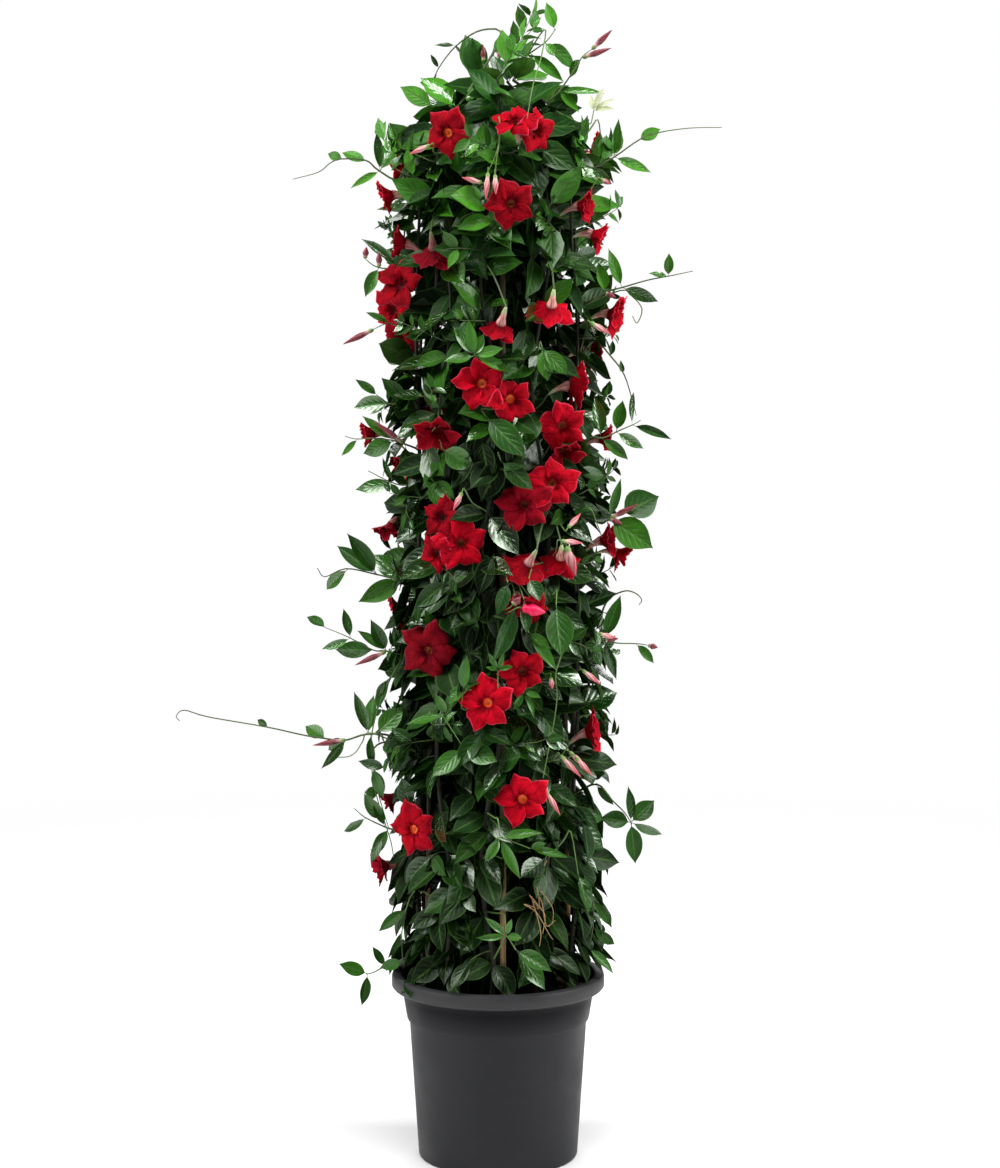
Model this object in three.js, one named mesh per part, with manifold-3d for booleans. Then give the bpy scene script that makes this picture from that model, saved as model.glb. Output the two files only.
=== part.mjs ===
// A red mandevilla trained as a tall column round four bamboo canes, in a round nursery pot.
// Millimetres, +Z up. The origin is the middle of the pot's underside; the front looks along -Y.

import * as THREE from 'three';
import { mergeVertices } from 'three/addons/utils/BufferGeometryUtils.js';
import Module from 'manifold-3d';

const wasm = await Module();
wasm.setup();

// Driving dimensions: the pot and its soil.
const potHeight = 280;
const potRimRadius = 160;
const potBaseRadius = 120;
const potSides = 30;
const drainRadius = 6;
const drainCircle = 80;
const drainCount = 4;
const soilTop = 250;
const fitGap = 0.35;

// The canes.
const caneCount = 4;
const caneTurn = 4;
const caneRadius = 4.7;
const caneFoot = 60;
const caneTop = 1520;
const caneFootCircle = 110;
const caneTopCircle = 86;

// The vines.
const vineCount = 10;
const vineTurn = 13;
const vineThickness = 7;
const vineBand = 5;
const vineFoot = 178;
const vineFootCircle = 110;
const vineCircle = 121;
const spreadHeight = 150;
const wander = 7;
const wanderPitch = 430;
const jointGap = 73;
const domeStart = 1455;
const domeRadius = 150;
const domeRise = 160;
const domeLean = 75;
const climbTop = 1500;
const firstLeafJoint = 1;

// The leaves, shoots, buds and blooms.
const leafLength = 62;
const leafLengthSpread = 20;
const leafThickness = 2;
const leafArch = 0.1;
const shootThickness = 3.6;
const shootBand = 3;
const stalkThickness = 3;
const stalkEnd = 0.5;
const budThickness = 8;
const throatRadius = 6.5;
const throatDepth = 6;
const petalBackDepth = 9;
const eyeDepth = 15;
const tubeLength = 36;
const tubeDrop = 14;
const stalkDrop = 20;
const stalkRise = 60;
const lowestStalkJoint = 2;

// Room round a leaf, the least slant of a leaf to the flat it grows from, and the volume under
// which two solids only touch.
const leafClearance = 0.4;
const leastSlant = 0.12;
const touchVolume = 0.001;

const degree = Math.PI / 180;
const zAxis = new THREE.Vector3(0, 0, 1);
const vector = (x, y, z) => new THREE.Vector3(x, y, z);
const clamp01 = (value) => Math.min(1, Math.max(0, value));
const mix = (from, to, share) => from + (to - from) * share;

// A seeded draw: the same seed always gives the same numbers between 0 and 1.
const makeDraw = (seed) => {
  let state = seed;
  const draw = () => {
    state = (state * 1664525 + 1013904223) % 4294967296;
    return state / 4294967296;
  };
  draw();
  draw();
  draw();
  return draw;
};

// ---- Solids and meshes ----

const toSolid = (geometry) => {
  const bare = geometry.clone();
  bare.deleteAttribute('normal');
  bare.deleteAttribute('uv');
  const merged = mergeVertices(bare, 1e-4);
  return new wasm.Manifold(new wasm.Mesh({
    numProp: 3,
    vertProperties: new Float32Array(merged.attributes.position.array),
    triVerts: new Uint32Array(merged.index.array),
  }));
};

const fuse = (solids) => {
  let layer = solids;
  while (layer.length > 1) {
    const next = [];
    for (let i = 0; i < layer.length; i += 2) {
      next.push(i + 1 < layer.length ? layer[i].add(layer[i + 1]) : layer[i]);
    }
    layer = next;
  }
  return layer[0];
};

const toGeometry = (solid) => {
  const mesh = solid.getMesh();
  const geometry = new THREE.BufferGeometry();
  geometry.setAttribute('position', new THREE.BufferAttribute(new Float32Array(mesh.vertProperties), 3));
  geometry.setIndex(new THREE.BufferAttribute(new Uint32Array(mesh.triVerts), 1));
  geometry.computeVertexNormals();
  return geometry;
};

// A closed body from a list of corners and the triangles between them.
const facetBody = (corners, triangles) => {
  const geometry = new THREE.BufferGeometry();
  const places = corners.flatMap((corner) => [corner.x, corner.y, corner.z]);
  geometry.setAttribute('position', new THREE.Float32BufferAttribute(places, 3));
  geometry.setIndex(triangles.flat());
  return toSolid(geometry);
};

// A rod between two places, which may taper to its end.
const rod = (from, to, radius, sides, endRadius = radius) => {
  const along = to.clone().sub(from);
  const geometry = new THREE.CylinderGeometry(endRadius, radius, along.length(), sides);
  const turn = new THREE.Quaternion().setFromUnitVectors(vector(0, 1, 0), along.clone().normalize());
  geometry.applyQuaternion(turn);
  const middle = from.clone().add(to).multiplyScalar(0.5);
  geometry.translate(middle.x, middle.y, middle.z);
  return toSolid(geometry);
};

const around = (angle, radius, height) => vector(
  radius * Math.cos(angle * degree),
  radius * Math.sin(angle * degree),
  height,
);

// ---- Pot, soil and canes ----

const turned = (profile, sides) => {
  const points = profile.map(([radius, height]) => new THREE.Vector2(radius, height));
  const geometry = new THREE.LatheGeometry(points, sides);
  geometry.rotateX(Math.PI / 2);
  return toSolid(geometry);
};

const makePot = () => {
  let pot = turned([
    [0, 0],
    [potBaseRadius - 4, 0],
    [potBaseRadius, 4],
    [potRimRadius - 26.7, 209],
    [potRimRadius - 23.2, 211],
    [potRimRadius - 17.5, 245],
    [potRimRadius, 259],
    [potRimRadius, potHeight - 5],
    [potRimRadius - 5, potHeight],
    [potRimRadius - 14.5, potHeight],
    [potRimRadius - 16, 262],
    [potRimRadius - 20.5, 245],
    [potRimRadius - 29.7, 208],
    [potBaseRadius - 2.7, 6],
    [potBaseRadius - 5, 3.5],
    [0, 3.5],
  ], potSides);
  for (let i = 0; i < drainCount; i += 1) {
    const angle = 45 + (360 / drainCount) * i;
    const drain = rod(around(angle, drainCircle, -1), around(angle, drainCircle, 3.6), drainRadius, 6);
    pot = pot.subtract(drain);
  }
  return pot;
};

const makeSoil = (holes) => {
  const soil = turned([
    [0, 3.9],
    [potBaseRadius - 5.5, 3.9],
    [potRimRadius - 30.1, 208.2],
    [potRimRadius - 20.9, 245.2],
    [potRimRadius - 20.2, soilTop - 1],
    [0, soilTop + 3],
  ], potSides);
  return soil.subtract(fuse(holes));
};

const caneAngle = (index) => caneTurn + (360 / caneCount) * index;

const canePlace = (index, height) => {
  const share = (height - caneFoot) / (caneTop - caneFoot);
  return around(caneAngle(index), mix(caneFootCircle, caneTopCircle, share), height);
};

const makeCane = (index) => rod(canePlace(index, caneFoot), canePlace(index, caneTop), caneRadius, 8);

const makeCaneHole = (index) => {
  const bottom = canePlace(index, caneFoot - fitGap);
  return rod(bottom, canePlace(index, soilTop + 30), caneRadius + fitGap, 8);
};

// ---- Vines ----

// The place of a joint, which may be a part of a joint, on the middle line of a vine.
const vinePlace = (vine, joint) => {
  const travel = joint * jointGap;
  const straight = domeStart - vineFoot;
  let height = vineFoot + travel;
  const spread = clamp01((travel - jointGap) / spreadHeight);
  let radius = mix(vineFootCircle, vineCircle, spread);
  if (travel > straight) {
    const bend = (travel - straight) / domeRadius;
    radius = vineCircle - domeRadius * (1 - Math.cos(bend));
    height = domeStart + domeRise * Math.sin(bend);
  }
  const sway = wander * spread * Math.sin((2 * Math.PI * height) / wanderPitch + 2.4 * vine);
  return around(vineTurn + (360 / vineCount) * vine + sway, radius, height);
};

// How far the vine has bent over the top, from 0 on the column to 1 when level.
const domeShare = (joint) => {
  const travel = joint * jointGap - (domeStart - vineFoot);
  return clamp01(travel / (1.5 * domeRadius));
};

// The way out of the plant at a joint: sideways on the column and upward on the dome.
const outwardAt = (place, joint) => {
  const bend = domeShare(joint) * domeLean * degree;
  return vector(place.x, place.y, 0)
    .setLength(Math.cos(bend))
    .addScaledVector(zAxis, Math.sin(bend));
};

const vineJoints = (vine) => 19 + (vine % 2);

const makeVineHole = (vine) => {
  const foot = vinePlace(vine, 0);
  const bottom = vector(foot.x, foot.y, vineFoot - fitGap);
  return rod(bottom, vector(foot.x, foot.y, soilTop + 30), vineThickness / 2 + 0.9, 6);
};

// ---- Leaves ----

// The part of a wished direction that is square to another, at unit length.
const squareTo = (direction, wish) => wish.clone()
  .addScaledVector(direction, -wish.dot(direction))
  .normalize();

// A blade with sharp margins, arched from its base to its tip and folded up along its midrib.
// Its corners are the upper rib, a margin, the lower rib, the other margin, and then the far
// margins with the tip between them.
const leafCorners = ({ base, along, face, length, width }, growth) => {
  const side = face.clone().cross(along);
  const place = (share, across, lift) => base.clone()
    .addScaledVector(along, share * length)
    .addScaledVector(face, -leafArch * length * share * share + lift)
    .addScaledVector(side, across);
  const half = width / 2 + growth;
  const fold = 0.07 * width;
  const rib = leafThickness / 2 + growth;
  return [
    place(0.34, 0, rib),
    place(0.32, -0.88 * half, fold),
    place(0.34, 0, -rib),
    place(0.32, 0.88 * half, fold),
    place(0.67, -0.84 * half, fold),
    place(1, 0, 0),
    place(0.67, 0.84 * half, fold),
  ];
};

// The triangles of a blade that grows out of a root of four corners, given by number.
const leafTriangles = (root, corner) => {
  const [upper, right, lower, left, farRight, tip, farLeft] = corner;
  const collar = [upper, right, lower, left];
  const triangles = [
    [upper, right, farRight], [upper, farRight, tip], [upper, tip, farLeft], [upper, farLeft, left],
    [lower, farRight, right], [lower, tip, farRight], [lower, farLeft, tip], [lower, left, farLeft],
  ];
  for (let i = 0; i < 4; i += 1) {
    const next = (i + 1) % 4;
    triangles.push([root[i], root[next], collar[next]]);
    triangles.push([root[i], collar[next], collar[i]]);
  }
  return triangles;
};

// The order of the root's corners that twists the blade least.
const leastTwist = (root, { along, face }) => {
  const side = face.clone().cross(along);
  const wishes = [face, side.clone().negate(), face.clone().negate(), side];
  const middle = root.reduce((sum, corner) => sum.add(corner), vector(0, 0, 0)).divideScalar(4);
  const spokes = root.map((corner) => squareTo(along, corner.clone().sub(middle)));
  const likeness = (shift) => wishes.reduce((sum, wish, i) => sum + wish.dot(spokes[(i + shift) % 4]), 0);
  const shifts = [0, 1, 2, 3];
  return shifts.reduce((best, shift) => (likeness(shift) > likeness(best) ? shift : best), 0);
};

// A list that starts at another of its entries.
const turnList = (list, shift) => list.map((_, i) => list[(i + shift) % list.length]);

// ---- Stems: three-sided, with leaves that grow out of their flats ----

// The rings of corners along a stem. A flat lies between two corners of two neighbouring rings.
const makeTwig = (vine, places, outwards, radius) => {
  const corners = [];
  places.forEach((center, i) => {
    const before = places[Math.max(0, i - 1)];
    const after = places[Math.min(places.length - 1, i + 1)];
    const tangent = after.clone().sub(before).normalize();
    const out = squareTo(tangent, outwards[i]);
    const side = tangent.clone().cross(out);
    for (let k = 0; k < 3; k += 1) {
      const angle = 120 * k * degree;
      corners.push(center.clone()
        .addScaledVector(out, radius * Math.cos(angle))
        .addScaledVector(side, radius * Math.sin(angle)));
    }
  });
  const flats = [];
  for (let ring = 0; ring + 1 < places.length; ring += 1) {
    for (let k = 0; k < 3; k += 1) {
      const next = (k + 1) % 3;
      flats.push([3 * ring + k, 3 * ring + next, 3 * ring + 3 + next, 3 * ring + 3 + k]);
    }
  }
  return { vine, corners, flats, leaves: new Map() };
};

const twigBody = ({ corners, flats, leaves }) => {
  const last = corners.length - 1;
  const all = [...corners];
  const triangles = [[0, 2, 1], [last - 2, last - 1, last]];
  flats.forEach((flat, index) => {
    const leaf = leaves.get(index);
    if (leaf === undefined) {
      triangles.push([flat[0], flat[1], flat[2]], [flat[0], flat[2], flat[3]]);
      return;
    }
    const root = turnList(flat, leaf.shift);
    const numbers = leaf.corners.map((_, i) => all.length + i);
    all.push(...leaf.corners);
    triangles.push(...leafTriangles(root, numbers));
  });
  return facetBody(all, triangles);
};

// A leaf by itself, closed across its root.
const leafBody = (root, corners) => {
  const numbers = corners.map((_, i) => 4 + i);
  const triangles = [[0, 2, 1], [0, 3, 2], ...leafTriangles([0, 1, 2, 3], numbers)];
  return facetBody([...root, ...corners], triangles);
};

const makeVineTwig = (vine) => {
  const places = [vinePlace(vine, 0)];
  const outwards = [outwardAt(places[0], 0)];
  for (let joint = 1; joint <= vineJoints(vine); joint += 1) {
    const here = vinePlace(vine, joint);
    const below = here.clone().lerp(vinePlace(vine, joint - 1), vineBand / jointGap);
    const outward = outwardAt(here, joint);
    places.push(below, here);
    outwards.push(outward, outward);
  }
  return makeTwig(vine, places, outwards, vineThickness / 2);
};

// The ways in which a leaf gives way when its first place is taken.
const leafTries = [
  { lift: 0, narrow: 1, size: 1 },
  { lift: 0.5, narrow: 1, size: 1 },
  { lift: -0.5, narrow: 1, size: 1 },
  { lift: 0, narrow: 0.4, size: 1 },
  { lift: 0.25, narrow: 1, size: 0.8 },
  { lift: -0.3, narrow: 0.4, size: 0.8 },
];

const vineLeaf = (vine, joint, hand, attempt) => {
  const draw = makeDraw(1000 * vine + 10 * joint + hand + 1);
  const change = leafTries[attempt];
  const base = vinePlace(vine, joint).lerp(vinePlace(vine, joint - 1), 0.5 * vineBand / jointGap);
  const outward = outwardAt(base, joint);
  const sideways = zAxis.clone().cross(outward).normalize();
  const climb = (base.z - soilTop) / (climbTop - soilTop);
  const across = hand * (0.35 + 0.5 * draw()) * change.narrow;
  const out = 0.45 + 0.25 * draw();
  const rise = mix(-1, -0.4, climb) + draw() * mix(0.5, 0.9, climb) + change.lift;
  const along = sideways.clone().multiplyScalar(across)
    .addScaledVector(outward, out)
    .addScaledVector(zAxis, rise)
    .normalize();
  const length = (leafLength + leafLengthSpread * draw()) * change.size;
  const width = length * (0.42 + 0.14 * draw());
  const wish = outward.clone().multiplyScalar(0.8)
    .addScaledVector(zAxis, 0.55)
    .addScaledVector(sideways, draw() - 0.5);
  return { base, along, face: squareTo(along, wish), length, width };
};

// ---- Shoots: hand-placed side growth, as x and z of their joints in a plane y = depth ----
// Leaves are [joint, x, z of the tip, width]; buds are [joint, x, z of the tip].

const shoots = [
  {
    vine: 7,
    depth: -25,
    route: [[20, 1624], [49, 1644], [70, 1659], [84, 1677]],
    leaves: [[3, 70, 1715, 18], [2, 86, 1637, 14], [1, 96, 1602, 18], [2, 116, 1624, 26], [0, 35, 1661, 9]],
    buds: [],
  },
  {
    vine: 9,
    depth: -35,
    route: [[73, 1570], [90, 1588], [113, 1621], [123, 1637], [138, 1648]],
    leaves: [
      [1, 20, 1594, 14], [1, 154, 1584, 14], [1, 118, 1557, 15], [2, 99, 1643, 18],
      [3, 104, 1608, 15],
    ],
    buds: [[4, 165, 1674], [3, 164, 1648]],
  },
  {
    vine: 6,
    depth: -20,
    route: [[4, 1664], [-23, 1676], [-60, 1654], [-87, 1620], [-96, 1595]],
    leaves: [[0, 20, 1647, 21], [4, -114, 1601, 12]],
    buds: [],
  },
  {
    vine: 9,
    depth: -45,
    route: [[136, 1476], [157, 1486], [171, 1493], [206, 1517], [235, 1527], [278, 1533], [324, 1534]],
    leaves: [
      [2, 175, 1547, 12], [2, 223, 1470, 16], [3, 236, 1532, 18], [1, 158, 1524, 24],
      [0, 165, 1453, 14],
    ],
    buds: [],
  },
  {
    vine: 9,
    depth: -55,
    route: [[137, 1285], [158, 1297], [183, 1304], [218, 1314], [250, 1320], [283, 1327]],
    leaves: [
      [2, 160, 1360, 16], [4, 218, 1323, 12], [4, 248, 1353, 15], [2, 233, 1282, 18],
      [1, 145, 1340, 18],
    ],
    buds: [[1, 171, 1289]],
  },
  {
    vine: 0,
    depth: -10,
    route: [[141, 1227], [168, 1201], [186, 1176], [198, 1139], [204, 1116]],
    leaves: [[1, 169, 1227, 9], [1, 181, 1213, 14], [2, 180, 1198, 8]],
    buds: [],
  },
  {
    vine: 9,
    depth: -60,
    route: [[131, 1085], [153, 1085], [175, 1095], [198, 1105], [208, 1111]],
    leaves: [
      [2, 182, 1140, 20], [3, 199, 1152, 9], [3, 254, 1083, 14], [2, 213, 1069, 16],
      [1, 191, 1053, 18], [1, 141, 1146, 20],
    ],
    buds: [],
  },
  {
    vine: 9,
    depth: -50,
    route: [[147, 962], [166, 967], [182, 975]],
    leaves: [[2, 237, 998, 46], [1, 227, 923, 45], [1, 180, 1026, 14], [0, 176, 935, 27]],
    buds: [[1, 205, 988], [1, 182, 959]],
  },
  {
    vine: 0,
    depth: -15,
    route: [[147, 816], [159, 837], [169, 849], [190, 857], [206, 852], [213, 843], [209, 836]],
    leaves: [],
    buds: [],
  },
  {
    vine: 9,
    depth: -50,
    route: [[138, 790], [159, 788], [175, 783], [206, 782], [224, 779]],
    leaves: [[1, 181, 853, 21], [1, 175, 727, 15], [3, 230, 752, 14], [0, 153, 746, 15]],
    buds: [[1, 177, 790], [4, 235, 777]],
  },
  {
    vine: 0,
    depth: -20,
    route: [[147, 568], [170, 544], [188, 526], [200, 508]],
    leaves: [
      [3, 152, 517, 27], [3, 194, 565, 14], [3, 234, 541, 28], [3, 248, 484, 15],
      [3, 205, 447, 26], [3, 173, 490, 12], [0, 173, 535, 12],
    ],
    buds: [],
  },
  {
    vine: 9,
    depth: -45,
    route: [[131, 428], [141, 398], [141, 356], [134, 323]],
    leaves: [[0, 160, 466, 14], [1, 171, 354, 14], [2, 176, 323, 15], [3, 173, 288, 15]],
    buds: [],
  },
  {
    vine: 5,
    depth: -40,
    route: [[-142, 1459], [-174, 1473], [-192, 1487], [-228, 1489], [-244, 1483], [-261, 1470], [-298, 1460]],
    leaves: [
      [2, -228, 1500, 16], [3, -248, 1498, 14], [1, -177, 1529, 15], [1, -214, 1446, 12],
      [1, -148, 1513, 24], [0, -166, 1413, 18],
    ],
    buds: [],
  },
  {
    vine: 5,
    depth: -45,
    route: [[-148, 1332], [-176, 1333], [-196, 1347]],
    leaves: [[1, -194, 1290, 18], [0, -198, 1375, 12]],
    buds: [[1, -173, 1355], [2, -191, 1362]],
  },
  {
    vine: 5,
    depth: -30,
    route: [[-141, 1248], [-161, 1252], [-184, 1242]],
    leaves: [[0, -185, 1207, 15], [1, -193, 1268, 9]],
    buds: [[2, -227, 1221]],
  },
  {
    vine: 5,
    depth: -35,
    route: [[-123, 1137], [-138, 1137], [-158, 1134], [-179, 1148]],
    leaves: [[3, -208, 1170, 12], [2, -214, 1128, 27], [1, -170, 1172, 21]],
    buds: [],
  },
  {
    vine: 5,
    depth: -45,
    route: [[-117, 1067], [-138, 1076], [-155, 1081], [-184, 1084], [-208, 1083], [-224, 1087]],
    leaves: [
      [2, -199, 1117, 14], [2, -198, 1061, 27], [1, -136, 1023, 18], [2, -169, 1024, 10],
      [4, -230, 1058, 10],
    ],
    buds: [[1, -181, 1109]],
  },
  {
    vine: 5,
    depth: -35,
    route: [[-115, 1025], [-135, 1015], [-157, 1019], [-191, 1036]],
    leaves: [[2, -210, 1008, 21], [1, -147, 984, 18], [2, -170, 1056, 9]],
    buds: [],
  },
  {
    vine: 5,
    depth: -40,
    route: [[-127, 875], [-143, 875], [-181, 884], [-224, 892], [-255, 880], [-266, 893]],
    leaves: [
      [1, -205, 844, 30], [1, -185, 911, 27], [2, -221, 945, 24], [2, -240, 923, 21],
      [2, -191, 949, 15], [3, -255, 858, 18],
    ],
    buds: [],
  },
  {
    vine: 5,
    depth: -45,
    route: [[-139, 765], [-167, 771], [-184, 772], [-220, 791], [-256, 806]],
    leaves: [
      [4, -283, 820, 15], [3, -228, 833, 14], [2, -242, 769, 26], [3, -261, 772, 12],
      [1, -208, 800, 15], [1, -186, 821, 21], [0, -153, 811, 14],
    ],
    buds: [[1, -211, 750]],
  },
  {
    vine: 5,
    depth: -40,
    route: [
      [-157, 643], [-195, 646], [-227, 637], [-258, 640], [-289, 645],
      [-343, 657], [-429, 672], [-464, 682], [-476, 673], [-471, 666],
    ],
    leaves: [
      [3, -287, 655, 22], [2, -253, 620, 21], [5, -358, 666, 10], [1, -213, 709, 16],
      [1, -186, 702, 21], [0, -145, 691, 33], [2, -261, 596, 14],
    ],
    buds: [[2, -274, 630]],
  },
  {
    vine: 5,
    depth: -30,
    route: [[-157, 633], [-184, 624], [-184, 591], [-177, 552], [-162, 501]],
    leaves: [[1, -187, 585, 12], [2, -176, 546, 18], [3, -199, 558, 20], [4, -188, 458, 20]],
    buds: [],
  },
  {
    vine: 5,
    depth: -50,
    route: [[-148, 501], [-170, 510], [-198, 524], [-213, 537]],
    leaves: [[2, -230, 497, 10], [1, -186, 549, 15]],
    buds: [],
  },
  {
    vine: 6,
    depth: -75,
    route: [[-118, 419], [-136, 389], [-142, 356], [-141, 311]],
    leaves: [[0, -162, 415, 39], [1, -177, 356, 18], [2, -163, 314, 10], [3, -175, 301, 18]],
    buds: [],
  },
  {
    vine: 5,
    depth: -50,
    route: [[-146, 306], [-170, 298], [-185, 290], [-197, 287]],
    leaves: [
      [3, -237, 304, 21], [3, -223, 333, 14], [1, -187, 330, 12], [1, -174, 331, 9],
      [3, -203, 239, 16],
    ],
    buds: [],
  },
];

// The vine joint that lies nearest to a place.
const nearestJoint = (vine, place) => {
  let best = lowestStalkJoint;
  let bestDistance = Infinity;
  for (let joint = lowestStalkJoint; joint <= vineJoints(vine); joint += 1) {
    const distance = vinePlace(vine, joint).distanceTo(place);
    if (distance < bestDistance) {
      best = joint;
      bestDistance = distance;
    }
  }
  return best;
};

const shootRoute = (shoot) => {
  const route = shoot.route.map(([x, z]) => vector(x, shoot.depth, z));
  return [vinePlace(shoot.vine, nearestJoint(shoot.vine, route[0])), ...route];
};

// Leaves grow out of bands of flats just before their joint: one band for a leaf, two for more.
const makeShootTwig = (shoot) => {
  const route = shootRoute(shoot);
  const places = [route[0]];
  const bands = new Map();
  for (let joint = 0; joint + 1 < route.length; joint += 1) {
    const leaves = shoot.leaves.filter(([leafJoint]) => leafJoint === joint).length;
    const bandCount = Math.min(2, leaves);
    const back = route[joint].clone().sub(route[joint + 1]).setLength(shootBand);
    bands.set(joint, { firstFlat: 3 * places.length, flatCount: 3 * bandCount });
    for (let step = bandCount; step >= 0; step -= 1) {
      places.push(route[joint + 1].clone().addScaledVector(back, step));
    }
  }
  const outwards = places.map(() => vector(0, -1, 0));
  return { ...makeTwig(shoot.vine, places, outwards, shootThickness / 2), bands };
};

// The foot of a joint's leaves and bud, on the middle line of its bands.
const shootFoot = (shoot, joint) => {
  const route = shootRoute(shoot);
  const back = route[joint].clone().sub(route[joint + 1]).setLength(shootBand);
  return route[joint + 1].clone().add(back);
};

const shootTries = [0, 0.35, -0.35, 0.7, -0.7];

const shootLeaf = (shoot, shootNumber, leafNumber, attempt) => {
  const draw = makeDraw(50000 + 100 * shootNumber + leafNumber);
  const [joint, x, z, width] = shoot.leaves[leafNumber];
  const base = shootFoot(shoot, joint);
  const reach = Math.hypot(x - base.x, z - base.z);
  const tip = vector(x, base.y + reach * (0.5 * (draw() - 0.5) + shootTries[attempt]), z);
  const wish = vector(0.8 * (draw() - 0.5), -1, 0.6 * draw());
  const line = tip.clone().sub(base);
  const face = squareTo(line.clone().normalize(), wish);
  // The arch drops the tip by a tenth of the length, so the blade sets off that much higher.
  const length = line.length() / Math.hypot(1, leafArch);
  const along = line.addScaledVector(face, leafArch * length).normalize();
  return { base, along, face: squareTo(along, face), length, width };
};

// ---- Buds ----

const makeBud = (from, to) => {
  const line = to.clone().sub(from);
  const along = line.clone().normalize();
  const side = squareTo(along, vector(0.3, -1, 0.2));
  const other = along.clone().cross(side);
  const corners = [from.clone(), to.clone()];
  for (let i = 0; i < 4; i += 1) {
    const angle = (i * Math.PI) / 2;
    corners.push(from.clone()
      .addScaledVector(line, 0.4)
      .addScaledVector(side, (budThickness / 2) * Math.cos(angle))
      .addScaledVector(other, (budThickness / 2) * Math.sin(angle)));
  }
  const triangles = [];
  for (let i = 0; i < 4; i += 1) {
    const here = 2 + i;
    const next = 2 + ((i + 1) % 4);
    triangles.push([0, next, here]);
    triangles.push([1, here, next]);
  }
  return facetBody(corners, triangles);
};

// ---- Blooms ----
// Each group is one node of touching blooms. A bloom is [place round the column in degrees,
// distance from its middle, height, facing round the column, tilt up, width across, spin].

const frontBlooms = [
  [[242, 156, 1519, 245, -8, 66, 10]],
  [[279, 156, 1536, 258, 42, 64, 42], [291, 156, 1521, 308, -6, 62, 42]],
  [[277, 156, 1419, 274, -6, 64, 62]],
  [[197, 165, 1435, 185, -15, 50, 20]],
  [[233, 152, 1352, 80, -52, 62, 30]],
  [[202, 150, 1367, 175, 10, 46, 50]],
  [[204, 156, 1309, 240, 18, 72, 35]],
  [[180, 156, 1270, 225, -15, 66, 10], [180, 145, 1227, 229, -25, 56, 0]],
  [[300, 152, 1272, 98, -48, 64, 15]],
  [[271, 152, 1246, 112, -50, 48, 40]],
  [[349, 170, 1264, 345, -12, 66, 5]],
  [[324, 150, 1419, 342, 0, 50, 25]],
  [[332, 160, 1377, 350, -20, 46, 65]],
  [[315, 150, 1160, 18, -6, 70, 45]],
  [[261, 156, 1166, 256, 2, 72, 52], [277, 156, 1143, 286, -8, 64, 67]],
  [[236, 156, 1097, 258, -36, 66, 22]],
  [[307, 156, 1103, 284, -22, 68, 58], [312, 144, 1067, 292, -35, 52, 24]],
  [[348, 158, 1083, 352, 0, 40, 35]],
  [[180, 188, 1089, 190, -10, 36, 55]],
  [[192, 140, 1044, 208, -25, 44, 5]],
  [[300, 156, 1023, 272, 8, 72, 42], [285, 144, 992, 260, -2, 78, 52]],
  [[238, 156, 974, 248, 8, 56, 30], [249, 148, 937, 272, 0, 72, 47], [235, 156, 920, 240, -18, 54, 0]],
  [[180, 160, 949, 230, -55, 46, 20]],
  [[286, 152, 905, 120, -44, 70, 0]],
  [[307, 150, 912, 92, -40, 56, 40]],
  [[342, 165, 935, 342, 10, 50, 60], [348, 181, 913, 7, -28, 50, 0]],
  [[280, 156, 855, 272, -42, 46, 45], [289, 156, 843, 294, -30, 46, 10]],
  [[229, 156, 778, 254, -10, 80, 22]],
  [[283, 156, 753, 274, 0, 64, 62]],
  [[264, 156, 708, 254, 0, 74, 50]],
  [[334, 150, 653, 352, 12, 68, 30]],
  [[283, 156, 567, 266, -4, 74, 57]],
  [[216, 156, 512, 236, -4, 74, 55]],
  [[180, 171, 440, 200, -10, 54, 65]],
  [[180, 160, 542, 195, -25, 40, 15]],
];

const backBlooms = [
  [[25, 156, 1500, 20, 5, 66, 35], [38, 156, 1479, 50, -10, 68, 12]],
  [[92, 156, 1385, 85, 0, 72, 55], [107, 156, 1368, 118, -12, 66, 12]],
  [[150, 156, 1490, 150, 5, 70, 45]],
  [[30, 156, 1210, 25, -8, 70, 15], [44, 156, 1224, 58, 6, 64, 0]],
  [[132, 156, 1130, 125, 0, 72, 40], [147, 152, 1113, 158, -15, 66, 24]],
  [[80, 156, 1050, 76, 0, 70, 60], [94, 156, 1021, 104, -10, 72, 36]],
  [[148, 156, 800, 142, 4, 72, 0], [163, 156, 821, 184, -8, 62, 24]],
  [[38, 156, 792, 34, 0, 72, 20], [52, 156, 768, 62, -12, 66, 12]],
  [[100, 156, 600, 96, 2, 70, 42], [114, 156, 580, 122, -10, 68, 0]],
];

const facing = (angle, tilt) => vector(
  Math.cos(angle * degree) * Math.cos(tilt * degree),
  Math.sin(angle * degree) * Math.cos(tilt * degree),
  Math.sin(tilt * degree),
);

const facesInwards = (middle, out) => middle.x * out.x + middle.y * out.y < 0;

// The tube droops behind the bloom, but is straight where the bloom hangs face down and inwards.
const bloomFrame = ([angle, radius, height, turn, tilt, size, spinTurn], number) => {
  const draw = makeDraw(90000 + number);
  const out = facing(turn, tilt);
  const side = squareTo(out, vector(-Math.sin(turn * degree), Math.cos(turn * degree), 0));
  const middle = around(angle, radius, height);
  const spin = spinTurn * degree;
  const tubeEnd = middle.clone().addScaledVector(out, -tubeLength);
  if (!facesInwards(middle, out)) tubeEnd.addScaledVector(zAxis, -tubeDrop);
  return { middle, out, side, up: out.clone().cross(side), spin, size, tubeEnd, draw };
};

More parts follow.
